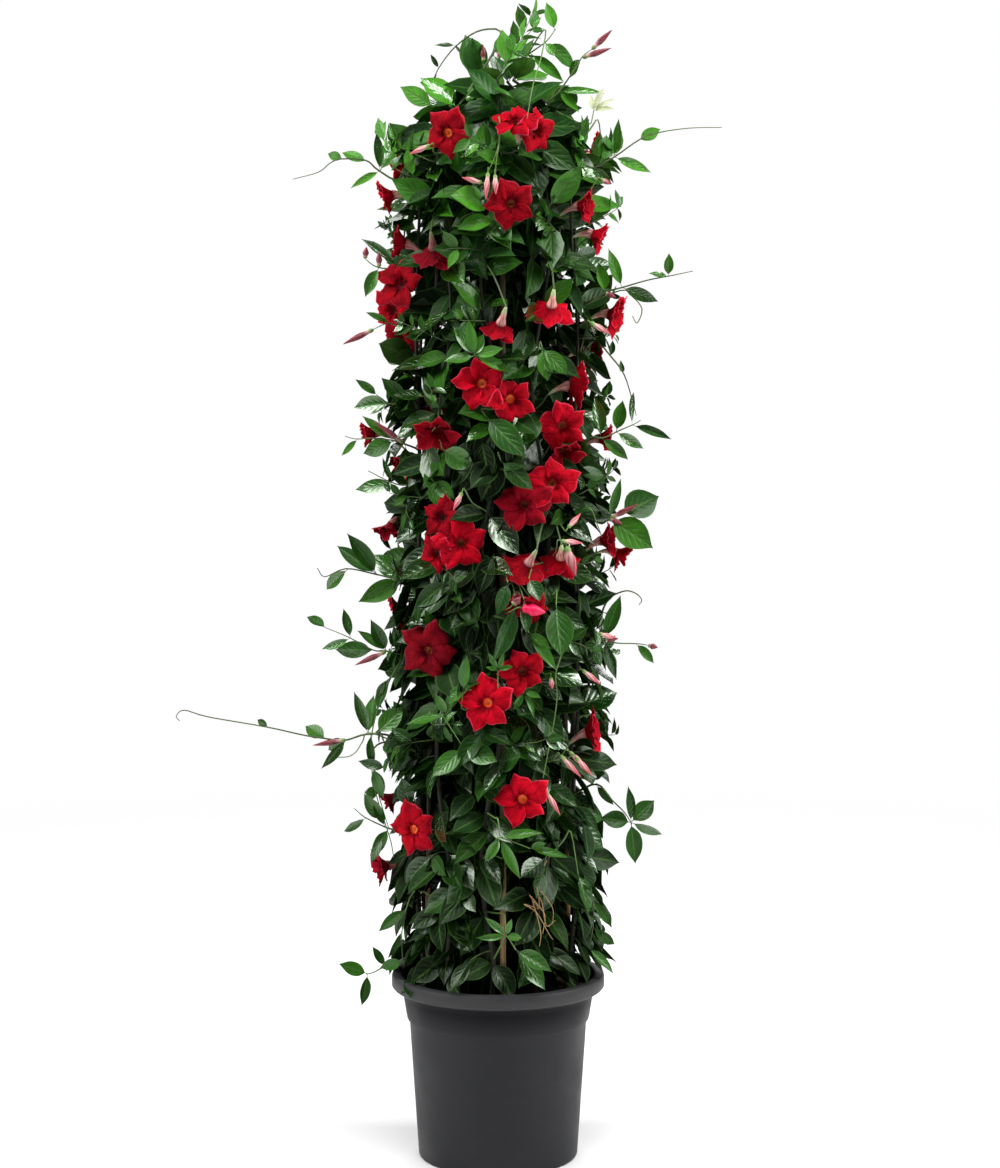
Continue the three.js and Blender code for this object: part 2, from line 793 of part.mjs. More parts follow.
// Five petals in a pinwheel round a sunken throat, with the tube tapering away behind.
const makeBloom = (frame) => {
  const { middle, out, side, up, spin, size, tubeEnd, draw } = frame;
  const place = (turn, radius, depth) => middle.clone()
    .addScaledVector(side, radius * Math.cos(spin + turn * degree))
    .addScaledVector(up, radius * Math.sin(spin + turn * degree))
    .addScaledVector(out, depth);
  const half = size / 2;
  const corners = [middle.clone().addScaledVector(out, -eyeDepth), tubeEnd.clone()];
  for (let petal = 0; petal < 5; petal += 1) {
    const turn = 72 * petal;
    corners.push(place(turn, throatRadius, -throatDepth));
    corners.push(place(turn, throatRadius + 1.8, -petalBackDepth));
    corners.push(place(turn, 0.34 * half, -4));
    corners.push(place(turn + 16, 0.84 * half, 3 * draw() - 2));
    corners.push(place(turn + 50, half, 6 * draw() - 3));
  }
  const triangles = [];
  for (let petal = 0; petal < 5; petal += 1) {
    const here = 2 + 5 * petal;
    const next = 2 + 5 * ((petal + 1) % 5);
    const [ring, back, notch, shoulder, tip] = [here, here + 1, here + 2, here + 3, here + 4];
    triangles.push([0, ring, next]);
    triangles.push([1, next + 1, back]);
    triangles.push([ring, notch, shoulder], [back, shoulder, notch]);
    triangles.push([ring, shoulder, tip], [back, tip, shoulder]);
    triangles.push([ring, tip, next], [back, next + 1, tip]);
    triangles.push([next, tip, next + 2], [next + 1, next + 2, tip]);
  }
  return facetBody(corners, triangles);
};

// The stalk leaves the vine a little below the bloom, or well above a hanging one, and ends just
// short of its tube.
const stalkPlan = ({ middle, out, tubeEnd }) => {
  const aim = tubeEnd.clone().addScaledVector(zAxis, facesInwards(middle, out) ? stalkRise : -stalkDrop);
  let vine = 0;
  let joint = lowestStalkJoint;
  let bestDistance = Infinity;
  for (let candidate = 0; candidate < vineCount; candidate += 1) {
    const near = nearestJoint(candidate, aim);
    const distance = vinePlace(candidate, near).distanceTo(aim);
    if (distance < bestDistance) {
      vine = candidate;
      joint = near;
      bestDistance = distance;
    }
  }
  const away = tubeEnd.clone().sub(middle.clone().addScaledVector(out, -petalBackDepth)).normalize();
  const end = tubeEnd.clone().addScaledVector(away, fitGap + stalkEnd);
  const start = vinePlace(vine, joint);
  return { vine, start, end };
};

const makeStalk = ({ start, end }) => rod(start, end, stalkThickness / 2, 3, stalkEnd);

// ---- Putting the plant together, each new piece clear of what is there ----

const placed = [];
const place = (node, solid) => {
  placed.push({ node, solid, box: solid.boundingBox() });
};

const boxesMeet = (a, b) => [0, 1, 2].every((axis) => (
  a.min[axis] <= b.max[axis] && b.min[axis] <= a.max[axis]
));

const isFree = (solid, mayTouch) => {
  const box = solid.boundingBox();
  return placed.every((other) => mayTouch(other)
    || !boxesMeet(box, other.box)
    || solid.intersect(other.solid).volume() < touchVolume);
};

const caneNumbers = [...Array(caneCount).keys()];
const vineNumbers = [...Array(vineCount).keys()];
const vineName = (vine) => `vine_${vine + 1}`;

const pot = makePot();
const canes = caneNumbers.map(makeCane);
const soil = makeSoil([...caneNumbers.map(makeCaneHole), ...vineNumbers.map(makeVineHole)]);
place('pot', pot);
place('soil', soil);
canes.forEach((cane, index) => place(`cane_${index + 1}`, cane));

const vineTwigs = vineNumbers.map(makeVineTwig);
const shootTwigs = shoots.map(makeShootTwig);
const twigs = [...vineTwigs, ...shootTwigs];
const bareTwigs = twigs.map(twigBody);
twigs.forEach((twig, index) => place(vineName(twig.vine), bareTwigs[index]));

const vineExtras = vineNumbers.map(() => []);
const addToVine = (vine, solid) => {
  vineExtras[vine].push(solid);
  place(vineName(vine), solid);
};

const bloomNodes = [...frontBlooms, ...backBlooms].map((group, groupNumber) => {
  const frames = group.map((bloom, index) => bloomFrame(bloom, 10 * groupNumber + index));
  const solid = fuse(frames.map(makeBloom));
  return { name: `bloom_${groupNumber + 1}`, frames, solid };
});
bloomNodes.forEach(({ name, solid }) => place(name, solid));
bloomNodes.forEach(({ frames }) => frames.forEach((frame) => {
  const plan = stalkPlan(frame);
  addToVine(plan.vine, makeStalk(plan));
}));

shoots.forEach((shoot) => shoot.buds.forEach(([joint, x, z]) => {
  const from = shootFoot(shoot, joint);
  addToVine(shoot.vine, makeBud(from, vector(x, from.y - 4, z)));
}));

// A leaf keeps the first of its tries that is clear of every other piece, and of its own stem.
const growLeaf = (twigNumber, flatNumbers, options) => {
  const twig = twigs[twigNumber];
  const node = vineName(twig.vine);
  const mayTouch = (other) => other.node === node && !other.isLeaf;
  const rootOf = (flat) => twig.flats[flat].map((corner) => twig.corners[corner]);
  const slant = (flat, direction) => {
    const [a, b, c] = rootOf(flat);
    return b.clone().sub(a).cross(c.clone().sub(a)).normalize().dot(direction);
  };
  for (const leaf of options) {
    const open = flatNumbers.filter((flat) => (
      !twig.leaves.has(flat) && slant(flat, leaf.along) > leastSlant
    ));
    if (open.length > 0) {
      const flat = open.reduce((best, other) => (
        slant(other, leaf.along) > slant(best, leaf.along) ? other : best
      ));
      const shift = leastTwist(rootOf(flat), leaf);
      const root = turnList(rootOf(flat), shift);
      const corners = leafCorners(leaf, 0);
      const body = leafBody(root, corners);
      const isClearOfStem = body.intersect(bareTwigs[twigNumber]).volume() < touchVolume;
      if (isClearOfStem && isFree(leafBody(root, leafCorners(leaf, leafClearance)), mayTouch)) {
        twig.leaves.set(flat, { shift, corners });
        placed.push({ node, solid: body, box: body.boundingBox(), isLeaf: true });
        return;
      }
    }
  }
};

shoots.forEach((shoot, shootNumber) => shoot.leaves.forEach(([joint], leafNumber) => {
  const options = shootTries.map((_, attempt) => shootLeaf(shoot, shootNumber, leafNumber, attempt));
  const { firstFlat, flatCount } = shootTwigs[shootNumber].bands.get(joint);
  const flats = [...Array(flatCount).keys()].map((step) => firstFlat + step);
  growLeaf(vineCount + shootNumber, flats, options);
}));

vineNumbers.forEach((vine) => {
  for (let joint = firstLeafJoint; joint <= vineJoints(vine); joint += 1) {
    const bandFlat = 3 * (2 * joint - 1);
    [-1, 1].forEach((hand) => {
      const options = leafTries.map((_, attempt) => vineLeaf(vine, joint, hand, attempt));
      growLeaf(vine, [hand === 1 ? bandFlat : bandFlat + 2], options);
    });
  }
});

const vineSolid = (vine) => fuse([
  ...twigs.filter((twig) => twig.vine === vine).map(twigBody),
  ...vineExtras[vine],
]);

// ---- Materials and the group ----

const matte = (color, roughness) => new THREE.MeshStandardMaterial({ color, roughness, metalness: 0 });

const plant = new THREE.Group();
const addMesh = (name, solid, color, roughness) => {
  const mesh = new THREE.Mesh(toGeometry(solid), matte(color, roughness));
  mesh.name = name;
  plant.add(mesh);
};

addMesh('pot', pot, 0x39393c, 0.55);
addMesh('soil', soil, 0x2a201a, 1);
canes.forEach((cane, index) => addMesh(`cane_${index + 1}`, cane, 0x9a7448, 0.7));
vineNumbers.forEach((vine) => addMesh(vineName(vine), vineSolid(vine), 0x2b4a1f, 0.5));
bloomNodes.forEach(({ name, solid }) => addMesh(name, solid, 0xb00f24, 0.6));

export default plant;
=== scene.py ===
import math

import bpy
import numpy as np
from mathutils import Matrix, Vector
from mathutils.kdtree import KDTree


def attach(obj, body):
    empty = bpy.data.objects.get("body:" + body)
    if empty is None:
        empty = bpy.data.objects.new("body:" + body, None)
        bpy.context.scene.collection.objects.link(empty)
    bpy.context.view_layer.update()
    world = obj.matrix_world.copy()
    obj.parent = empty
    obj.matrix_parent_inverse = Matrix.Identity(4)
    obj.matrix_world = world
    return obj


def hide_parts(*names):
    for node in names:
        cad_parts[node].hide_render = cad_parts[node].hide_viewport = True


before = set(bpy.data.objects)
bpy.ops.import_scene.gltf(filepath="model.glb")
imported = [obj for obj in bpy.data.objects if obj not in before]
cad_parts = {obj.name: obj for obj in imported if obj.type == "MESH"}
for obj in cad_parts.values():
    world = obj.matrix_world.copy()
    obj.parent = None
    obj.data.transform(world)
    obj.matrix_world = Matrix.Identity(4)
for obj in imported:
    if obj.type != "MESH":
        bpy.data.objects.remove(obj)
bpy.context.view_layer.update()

mm = 0.001
zAxis = Vector((0, 0, 1))
print("frame loaded:", len(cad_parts), "nodes")


# small helpers for modelling and for copying a modelled shape

def clearSelection():
    if bpy.context.mode != "OBJECT":
        bpy.ops.object.mode_set(mode="OBJECT")
    bpy.ops.object.select_all(action="DESELECT")


def makeActive(piece):
    clearSelection()
    piece.select_set(True)
    bpy.context.view_layer.objects.active = piece


def addObject(name, data):
    piece = bpy.data.objects.new(name, data)
    bpy.context.scene.collection.objects.link(piece)
    return piece


def newPrimitive(name, operator, **settings):
    clearSelection()
    operator(**settings)
    piece = bpy.context.object
    piece.name = name
    piece.data.name = name
    return piece


def startEdit():
    # edit mode with the whole piece selected
    bpy.ops.object.mode_set(mode="EDIT")
    bpy.ops.mesh.select_mode(type="VERT")
    bpy.ops.mesh.select_all(action="SELECT")


def endEdit():
    bpy.ops.object.mode_set(mode="OBJECT")


def pickVertices(piece, test):
    # edit mode with the vertices selected whose place passes the test
    startEdit()
    bpy.ops.mesh.select_all(action="DESELECT")
    endEdit()
    for vertex in piece.data.vertices:
        vertex.select = test(vertex.co)
    bpy.ops.object.mode_set(mode="EDIT")


def newClouds(name, scale):
    clouds = bpy.data.textures.new(name, "CLOUDS")
    clouds.noise_scale = scale
    return clouds


def addModifier(piece, name, kind, **settings):
    modifier = piece.modifiers.new(name, kind)
    for key, value in settings.items():
        setattr(modifier, key, value)


def applyAll(piece):
    makeActive(piece)
    for modifier in list(piece.modifiers):
        bpy.ops.object.modifier_apply(modifier=modifier.name)


def smoothBelow(piece, angle):
    makeActive(piece)
    bpy.ops.object.shade_smooth_by_angle(angle=math.radians(angle))


def setMaterial(piece, material):
    piece.data.materials.clear()
    piece.data.materials.append(material)


def setUv(piece, rule):
    # each corner's place on the UV map from its place in the mesh
    layer = piece.data.uv_layers[0]
    layer.name = "UVMap"
    for loop, entry in zip(piece.data.loops, layer.data):
        entry.uv = rule(piece.data.vertices[loop.vertex_index].co)


def turnShare(place):
    return 0.5 + math.atan2(place.y, place.x) / (2 * math.pi)


def turnedShape(name, profile, sides):
    # a disc drawn out ring by ring along a profile of radius and height
    radius, height = profile[0]
    piece = newPrimitive(
        name, bpy.ops.mesh.primitive_circle_add, vertices=sides, radius=radius, fill_type="NGON")
    startEdit()
    bpy.ops.transform.translate(value=(0, 0, height))
    for nextRadius, nextHeight in profile[1:]:
        bpy.ops.mesh.extrude_region_move(TRANSFORM_OT_translate={"value": (0, 0, nextHeight - height)})
        grow = nextRadius / radius
        bpy.ops.transform.resize(value=(grow, grow, 1), center_override=(0, 0, nextHeight))
        radius, height = nextRadius, nextHeight
    bpy.ops.mesh.select_all(action="SELECT")
    bpy.ops.mesh.normals_make_consistent(inside=False)
    endEdit()
    return piece


def readAll(items, key, width=1, kind=float):
    values = np.zeros(len(items) * width, kind)
    items.foreach_get(key, values)
    return values if width == 1 else values.reshape(-1, width)


def readShape(piece):
    # the piece's mesh as arrays, and the piece itself is removed
    mesh = piece.data
    shape = {
        "corners": readAll(mesh.vertices, "co", 3),
        "loops": readAll(mesh.loops, "vertex_index", kind=int),
        "starts": readAll(mesh.polygons, "loop_start", kind=int),
        "slots": readAll(mesh.polygons, "material_index", kind=int),
        "uv": readAll(mesh.uv_layers[0].data, "uv", 2),
    }
    bpy.data.objects.remove(piece)
    return shape


def buildPiece(name, copies, materials):
    # copies: a list of (shape, placed corners, tone of four numbers)
    shapes, placed, tones = zip(*copies)
    loops, starts = [], []
    cornerCount = loopCount = 0
    for shape in shapes:
        loops.append(shape["loops"] + cornerCount)
        starts.append(shape["starts"] + loopCount)
        cornerCount += len(shape["corners"])
        loopCount += len(shape["loops"])
    starts = np.concatenate(starts)
    mesh = bpy.data.meshes.new(name)
    mesh.vertices.add(cornerCount)
    mesh.loops.add(loopCount)
    mesh.polygons.add(len(starts))
    mesh.vertices.foreach_set("co", np.concatenate(placed).ravel())
    mesh.polygons.foreach_set("loop_start", starts)
    mesh.loops.foreach_set("vertex_index", np.concatenate(loops))
    mesh.polygons.foreach_set("material_index", np.concatenate([shape["slots"] for shape in shapes]))
    mesh.polygons.foreach_set("use_smooth", np.ones(len(starts), bool))
    layer = mesh.uv_layers.new(name="UVMap")
    layer.data.foreach_set("uv", np.concatenate([shape["uv"] for shape in shapes]).ravel())
    toneLayer = mesh.attributes.new("tone", "FLOAT_COLOR", "POINT")
    cornerTones = [np.tile(tone, (len(corners), 1)) for tone, corners in zip(tones, placed)]
    toneLayer.data.foreach_set("color", np.concatenate(cornerTones).ravel())
    mesh.update(calc_edges=True)
    mesh.validate()
    for material in materials:
        mesh.materials.append(material)
    return addObject(name, mesh)


def finishPiece(piece, slot, *nodes):
    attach(piece, "root")
    if nodes:
        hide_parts(*nodes)


def tubePiece(name, runs, material, roundness=1):
    # one curve of many runs, each a list of (place in mm, radius in mm), made into a mesh
    curve = bpy.data.curves.new(name, "CURVE")
    curve.dimensions = "3D"
    curve.bevel_depth = mm
    curve.bevel_resolution = roundness
    curve.use_fill_caps = True
    for run in runs:
        spline = curve.splines.new("POLY")
        spline.points.add(len(run) - 1)
        for point, (place, radius) in zip(spline.points, run):
            point.co = (*(place * mm), 1)
            point.radius = radius
    makeActive(addObject(name, curve))
    bpy.ops.object.convert(target="MESH")
    piece = bpy.context.object
    setMaterial(piece, material)
    for face in piece.data.polygons:
        face.use_smooth = True
    return piece


def smoothRun(joints, firstRadius, lastRadius, steps=4):
    # a rounded run through the joints, thinner towards its end
    places = []
    for i in range(len(joints) - 1):
        a, b = joints[i], joints[i + 1]
        before = joints[i - 1] if i > 0 else a * 2 - b
        after = joints[i + 2] if i + 2 < len(joints) else b * 2 - a
        for step in range(steps):
            t = step / steps
            places.append(0.5 * (
                2 * a + (b - before) * t + (2 * before - 5 * a + 4 * b - after) * t * t
                + (3 * a - before - 3 * b + after) * t * t * t
            ))
    places.append(joints[-1])
    last = len(places) - 1
    return [(place, mix(firstRadius, lastRadius, i / last)) for i, place in enumerate(places)]


# numbers and directions

def drawsFrom(seed):
    state = seed

    def draw():
        nonlocal state
        state = (state * 1664525 + 1013904223) % 4294967296
        return state / 4294967296

    for skipped in range(3):
        draw()
    return draw


def mix(start, end, share):
    return start + (end - start) * share


def clamp01(value):
    return min(1, max(0, value))


def squareTo(direction, wish):
    return (wish - direction * wish.dot(direction)).normalized()


def around(angle, radius, height):
    turn = math.radians(angle)
    return Vector((radius * math.cos(turn), radius * math.sin(turn), height))


def levelOut(place):
    return Vector((place.x, place.y, 0)).normalized()


# nodes

def addNode(tree, kind, inputs=None, **settings):
    node = tree.nodes.new(kind)
    for key, value in settings.items():
        setattr(node, key, value)
    for key, value in (inputs or {}).items():
        if isinstance(value, bpy.types.NodeSocket):
            tree.links.new(value, node.inputs[key])
        else:
            node.inputs[key].default_value = value
    return node


def mixColors(tree, share, first, second, blend="MIX"):
    inputs = {0: share, 6: first, 7: second}
    return addNode(tree, "ShaderNodeMix", inputs, data_type="RGBA", blend_type=blend).outputs[2]


def rampBetween(tree, value, low, high, outLow=0.0, outHigh=1.0):
    return addNode(tree, "ShaderNodeMapRange", {
        "Value": value, "From Min": low, "From Max": high, "To Min": outLow, "To Max": outHigh,
    }, interpolation_type="SMOOTHSTEP").outputs[0]


def calculate(tree, operation, first, second=0.0):
    return addNode(tree, "ShaderNodeMath", {0: first, 1: second}, operation=operation).outputs[0]


def multiply(tree, first, *others):
    for other in others:
        first = calculate(tree, "MULTIPLY", first, other)
    return first


def add(tree, first, *others):
    for other in others:
        first = calculate(tree, "ADD", first, other)
    return first


def uvPlace(tree):
    return addNode(tree, "ShaderNodeUVMap", uv_map="UVMap").outputs[0]


def objectPlace(tree):
    return addNode(tree, "ShaderNodeTexCoord").outputs["Object"]


def partsOf(tree, vector):
    return tuple(addNode(tree, "ShaderNodeSeparateXYZ", {0: vector}).outputs)


def stretchedNoise(tree, place, stretch, detail):
    stretched = addNode(tree, "ShaderNodeVectorMath", {0: place, 1: stretch}, operation="MULTIPLY")
    return addNode(tree, "ShaderNodeTexNoise", {
        "Vector": stretched.outputs[0], "Scale": 1.0, "Detail": detail}).outputs[0]


def readTone(tree):
    attribute = addNode(tree, "ShaderNodeAttribute", attribute_name="tone")
    parts = addNode(tree, "ShaderNodeSeparateColor", {0: attribute.outputs["Color"]})
    return tuple(parts.outputs)


def colorOf(*parts):
    return (*parts, 1.0)


# camera, lights and stage

cameraSetup = {"place": (0.0029, -4.0, 1.2297), "pitchDown": 5.199, "lens": 83.22, "sensor": 36}

cameraData = bpy.data.cameras.new("studioCamera")
cameraData.lens = cameraSetup["lens"]
cameraData.sensor_width = cameraSetup["sensor"]
cameraObject = addObject("studioCamera", cameraData)
cameraObject.location = cameraSetup["place"]
cameraObject.rotation_euler = (math.radians(90 - cameraSetup["pitchDown"]), 0, 0)
bpy.context.scene.camera = cameraObject

lights = {
    "keyLeft": {"place": (-3.0, -0.9, 2.9), "size": (1.4, 2.3), "power": 130, "aim": (0, 0, 1.1)},
    "keyRight": {"place": (3.0, -0.6, 2.6), "size": (1.4, 2.3), "power": 128, "aim": (0, 0, 1.1)},
    "top": {"place": (0.2, -1.6, 4.4), "size": (1.6, 1.6), "power": 105, "aim": (0, 0, 1.3)},
    "rimBack": {"place": (0.0, 3.2, 3.0), "size": (3.0, 1.6), "power": 80, "aim": (0, 0, 1.0)},
}
for lightName, light in lights.items():
    lampData = bpy.data.lights.new(lightName, "AREA")
    lampData.shape = "RECTANGLE"
    lampData.size, lampData.size_y = light["size"]
    lampData.energy = light["power"]
    lamp = addObject(lightName, lampData)
    lamp.location = light["place"]
    towards = Vector(light["aim"]) - Vector(light["place"])
    lamp.rotation_euler = towards.to_track_quat("-Z", "Y").to_euler()

skyLight = {"seen": 1.0, "lit": 0.12}  # white behind the plant, dim as a light
world = bpy.data.worlds.new("studioWorld")
bpy.context.scene.world = world
world.use_nodes = True
sky = world.node_tree
sky.nodes.clear()
skySeen, skyLit = [
    addNode(sky, "ShaderNodeBackground", {"Color": colorOf(1, 1, 1), "Strength": skyLight[use]})
    for use in ("seen", "lit")
]
skyMix = addNode(sky, "ShaderNodeMixShader", {
    0: addNode(sky, "ShaderNodeLightPath").outputs["Is Camera Ray"],
    1: skyLit.outputs[0], 2: skySeen.outputs[0]})
addNode(sky, "ShaderNodeOutputWorld", {"Surface": skyMix.outputs[0]})
bpy.context.scene.view_settings.view_transform = "Standard"


# materials

def newGroup(name, inputs, outputs):
    group = bpy.data.node_groups.new(name, "ShaderNodeTree")
    for socketName, value in inputs.items():
        socket = group.interface.new_socket(socketName, in_out="INPUT", socket_type="NodeSocketFloat")
        socket.default_value = value
    for socketName in outputs:
        group.interface.new_socket(socketName, in_out="OUTPUT", socket_type="NodeSocketFloat")
    return group, group.nodes.new("NodeGroupInput").outputs


# speckle: soft patches and fine grain over any surface, on Object coordinates
speckleGroup, speckleIn = newGroup(
    "speckle", {"Scale": 60.0, "Fine Scale": 500.0}, ["Patches", "Grain"])
specklePlace = objectPlace(speckleGroup)
addNode(speckleGroup, "NodeGroupOutput", {
    "Patches": addNode(speckleGroup, "ShaderNodeTexNoise", {
        "Vector": specklePlace, "Scale": speckleIn["Scale"], "Detail": 3.0, "Roughness": 0.55,
    }).outputs[0],
    "Grain": addNode(speckleGroup, "ShaderNodeTexNoise", {
        "Vector": specklePlace, "Scale": speckleIn["Fine Scale"], "Detail": 2.0,
    }).outputs[0],
})

# bladeVeins: the midrib, the curved side veins and the band of a painted highlight along the margin of a
# leaf, on its own UV map
veinForm = {
    # the margin range is the band of the painted highlight along the leaf's edge
    "midrib": (0.075, 0.02), "lines": (0.78, 1.0), "fade": (0.47, 0.2), "margin": (0.44, 0.475),
    "curve": 0.8, "midribDepth": -1.0, "veinDepth": -0.45, "puff": -0.26,
}
veinsGroup, veinsIn = newGroup(
    "bladeVeins", {"Side Veins": 8.0, "Slope": 1.9}, ["Midrib", "Veins", "Margin", "Height"])
veinAcross, veinAlong = partsOf(veinsGroup, uvPlace(veinsGroup))[:2]
fromRib = calculate(veinsGroup, "ABSOLUTE", calculate(veinsGroup, "SUBTRACT", veinAcross, 0.5))
midribMask = rampBetween(veinsGroup, fromRib, *veinForm["midrib"])
veinPhase = calculate(
    veinsGroup, "SUBTRACT", multiply(veinsGroup, veinAlong, veinsIn["Side Veins"]),
    multiply(veinsGroup, calculate(veinsGroup, "POWER", fromRib, veinForm["curve"]),
             multiply(veinsGroup, veinsIn["Slope"], 2.0)))
veinWave = calculate(veinsGroup, "COSINE", multiply(veinsGroup, veinPhase, 2 * math.pi))
veinFade = rampBetween(veinsGroup, fromRib, *veinForm["fade"])
veinMask = multiply(veinsGroup, rampBetween(veinsGroup, veinWave, *veinForm["lines"]), veinFade)
addNode(veinsGroup, "NodeGroupOutput", {
    "Midrib": midribMask,
    "Veins": veinMask,
    "Margin": rampBetween(veinsGroup, fromRib, *veinForm["margin"]),
    # the blade is sunk along its veins and puffed up between them
    "Height": add(
        veinsGroup, multiply(veinsGroup, midribMask, veinForm["midribDepth"]),
        multiply(veinsGroup, veinMask, veinForm["veinDepth"]),
        multiply(veinsGroup, veinWave, veinForm["puff"], veinFade)),
})


def speckleOf(tree, scale, fineScale=500.0):
    inputs = {"Scale": scale, "Fine Scale": fineScale}
    return tuple(addNode(tree, "ShaderNodeGroup", inputs, node_tree=speckleGroup).outputs)


def newMaterial(name, roughness, specular):
    material = bpy.data.materials.new(name)
    material.use_nodes = True
    shader = material.node_tree.nodes["Principled BSDF"]
    shader.inputs["Roughness"].default_value = roughness
    shader.inputs["Specular IOR Level"].default_value = specular
    return material, material.node_tree, shader.inputs


def addBump(tree, skin, height, strength, distance):
    inputs = {"Height": height, "Strength": strength, "Distance": distance}
    tree.links.new(addNode(tree, "ShaderNodeBump", inputs).outputs[0], skin["Normal"])


def laidOver(tree, color, *layers):
    # each layer is a share and a colour
    for share, layerColor in layers:
        color = mixColors(tree, share, color, layerColor)
    return color


def paint(tree, skin, color, *layers):
    tree.links.new(laidOver(tree, color, *layers), skin["Base Color"])


def shadeColor(tree, color, bright):
    grey = addNode(tree, "ShaderNodeCombineColor", {0: bright, 1: bright, 2: bright})
    return mixColors(tree, 1.0, color, grey.outputs[0], "MULTIPLY")


def rangesOf(tree, look):
    return lambda value, name: rampBetween(tree, value, *look[name])


# in each look a range is from and to, then what these become where that isn't 0 and 1;
# relief is the strength and the distance of the bump
leafLook = {
    "rib": colorOf(0.09, 0.20, 0.04), "shine": colorOf(0.74, 1.0, 0.66),
    "speckle": 45.0, "patches": (0.3, 0.7, 0.82, 1.18), "grain": (0.3, 0.7), "grainSpread": (-0.05, 0.06),
    "shares": {"Veins": 0.09, "Midrib": 0.4, "Margin": 0.34},
    "dullness": 0.26, "specularFloor": 0.12, "wax": 0.7, "waxRoughness": 0.18, "reliefDistance": 0.0009,
    "top": {"old": colorOf(0.0062, 0.041, 0.0032), "young": colorOf(0.050, 0.205, 0.010),
            "roughness": 0.21, "specular": 1.0, "relief": 0.6},
    "under": {"old": colorOf(0.026, 0.085, 0.016), "young": colorOf(0.10, 0.24, 0.035),
              "roughness": 0.6, "specular": 0.2, "relief": 0.5},
}


def leafMaterial(name, side):
    roughness, specular = side["roughness"], side["specular"]
    material, tree, skin = newMaterial(name, roughness, specular)
    within = rangesOf(tree, leafLook)
    bright, young, gloss = readTone(tree)
    veins = addNode(tree, "ShaderNodeGroup", node_tree=veinsGroup).outputs
    patches, grain = speckleOf(tree, leafLook["speckle"])
    # the tone's brightness carries the leaves' painted light and shade; the patches are the blade's own
    # mottling
    shade = multiply(tree, bright, within(patches, "patches"))
    green = shadeColor(tree, mixColors(tree, young, side["old"], side["young"]), shade)
    # the rib colour over the veins and the midrib, and along the margin as a painted highlight
    paint(tree, skin, green, *[
        (multiply(tree, veins[part], share), leafLook["rib"]) for part, share in leafLook["shares"].items()])
    spread = [roughness + change for change in leafLook["grainSpread"]]
    dull = multiply(tree, calculate(tree, "SUBTRACT", 1.0, gloss), leafLook["dullness"])
    rough = rampBetween(tree, grain, *leafLook["grain"], *spread)
    tree.links.new(add(tree, rough, dull), skin["Roughness"])
    floor = specular * leafLook["specularFloor"]
    shine = add(tree, multiply(tree, gloss, specular - floor), floor)
    tree.links.new(shine, skin["Specular IOR Level"])
    tree.links.new(multiply(tree, gloss, specular * leafLook["wax"]), skin["Coat Weight"])
    skin["Coat Roughness"].default_value = leafLook["waxRoughness"]
    skin["Specular Tint"].default_value = leafLook["shine"]
    addBump(tree, skin, veins["Height"], side["relief"], leafLook["reliefDistance"])
    return material


leafTop = leafMaterial("leafTop", leafLook["top"])
leafUnder = leafMaterial("leafUnder", leafLook["under"])

stemLook = {"specular": 0.4, "speckle": (35.0, 700.0), "patches": (0.35, 0.65), "relief": (0.35, 0.0005)}
soilLook = {"specular": 0.2, "speckle": (110.0, 420.0), "patches": (0.35, 0.7), "relief": (0.8, 0.003)}


def patchyMaterial(name, look, first, second, roughness):
    material, tree, skin = newMaterial(name, roughness, look["specular"])
    patches, grain = speckleOf(tree, *look["speckle"])
    paint(tree, skin, colorOf(*first), (rampBetween(tree, patches, *look["patches"]), colorOf(*second)))
    addBump(tree, skin, grain, *look["relief"])
    return material


greenStem = patchyMaterial("greenStem", stemLook, (0.085, 0.17, 0.035), (0.16, 0.27, 0.07), 0.5)
shootStem = patchyMaterial("shootStem", stemLook, (0.040, 0.070, 0.022), (0.10, 0.15, 0.045), 0.5)
dryStem = patchyMaterial("dryStem", stemLook, (0.24, 0.14, 0.06), (0.40, 0.27, 0.13), 0.8)
paleLeaf = patchyMaterial("paleLeaf", stemLook, (0.52, 0.60, 0.34), (0.72, 0.74, 0.50), 0.6)
# the woody vine stems: a dark green-brown, made darker still as painted shade inside the column
shadedWoodyStem = patchyMaterial("shadedWoodyStem", stemLook, (0.010, 0.017, 0.006), (0.024, 0.020, 0.010), 0.7)
soilMaterial = patchyMaterial("pottingMix", soilLook, (0.012, 0.009, 0.007), (0.045, 0.030, 0.020), 0.95)

petalLook = {
    "deep": colorOf(0.13, 0.0004, 0.005), "bright": colorOf(0.53, 0.0008, 0.012),
    "rimHighlight": colorOf(0.84, 0.060, 0.115), "eye": colorOf(0.85, 0.060, 0.020),
    "throat": colorOf(0.10, 0.002, 0.003), "back": colorOf(0.36, 0.006, 0.024),
    "dusk": colorOf(0.17, 0.003, 0.014), "tubePink": colorOf(0.92, 0.45, 0.40),
    "tubePale": colorOf(0.58, 0.70, 0.36),
    "roughness": 0.7, "specular": 0.06, "speckle": (52.0, 260.0),
    "streakStretch": (26.0, 5.0, 1.0), "streakDetail": 2.0, "streaks": (0.35, 0.65, 0.72, 1.12),
    # the fold, tucked-edge and free-edge ranges are painted light: painted shade in the folds and under the
    # neighbouring petal, a painted highlight on each petal's free side
    "outwards": (0.42, 0.66, 0.35, 1.0), "foldShade": (0.36, 0.62, 0.58, 1.1),
    "tuckedShadow": (0.0, 0.3, 0.5, 1.0), "freeSideLight": (0.4, 0.95, 0.84, 1.24),
    "rimHighlightRange": (0.945, 0.992, 0.0, 0.62), "eyeRange": (0.475, 0.445), "eyeWaver": 0.05,
    "stripes": (0.42, 0.56, 0.35, 1.0), "pinkRange": (0.47, 0.33), "paleRange": (0.22, 0.06),
    "duskShare": 0.55, "foldHeight": 2.6, "relief": (0.8, 0.0022),
}


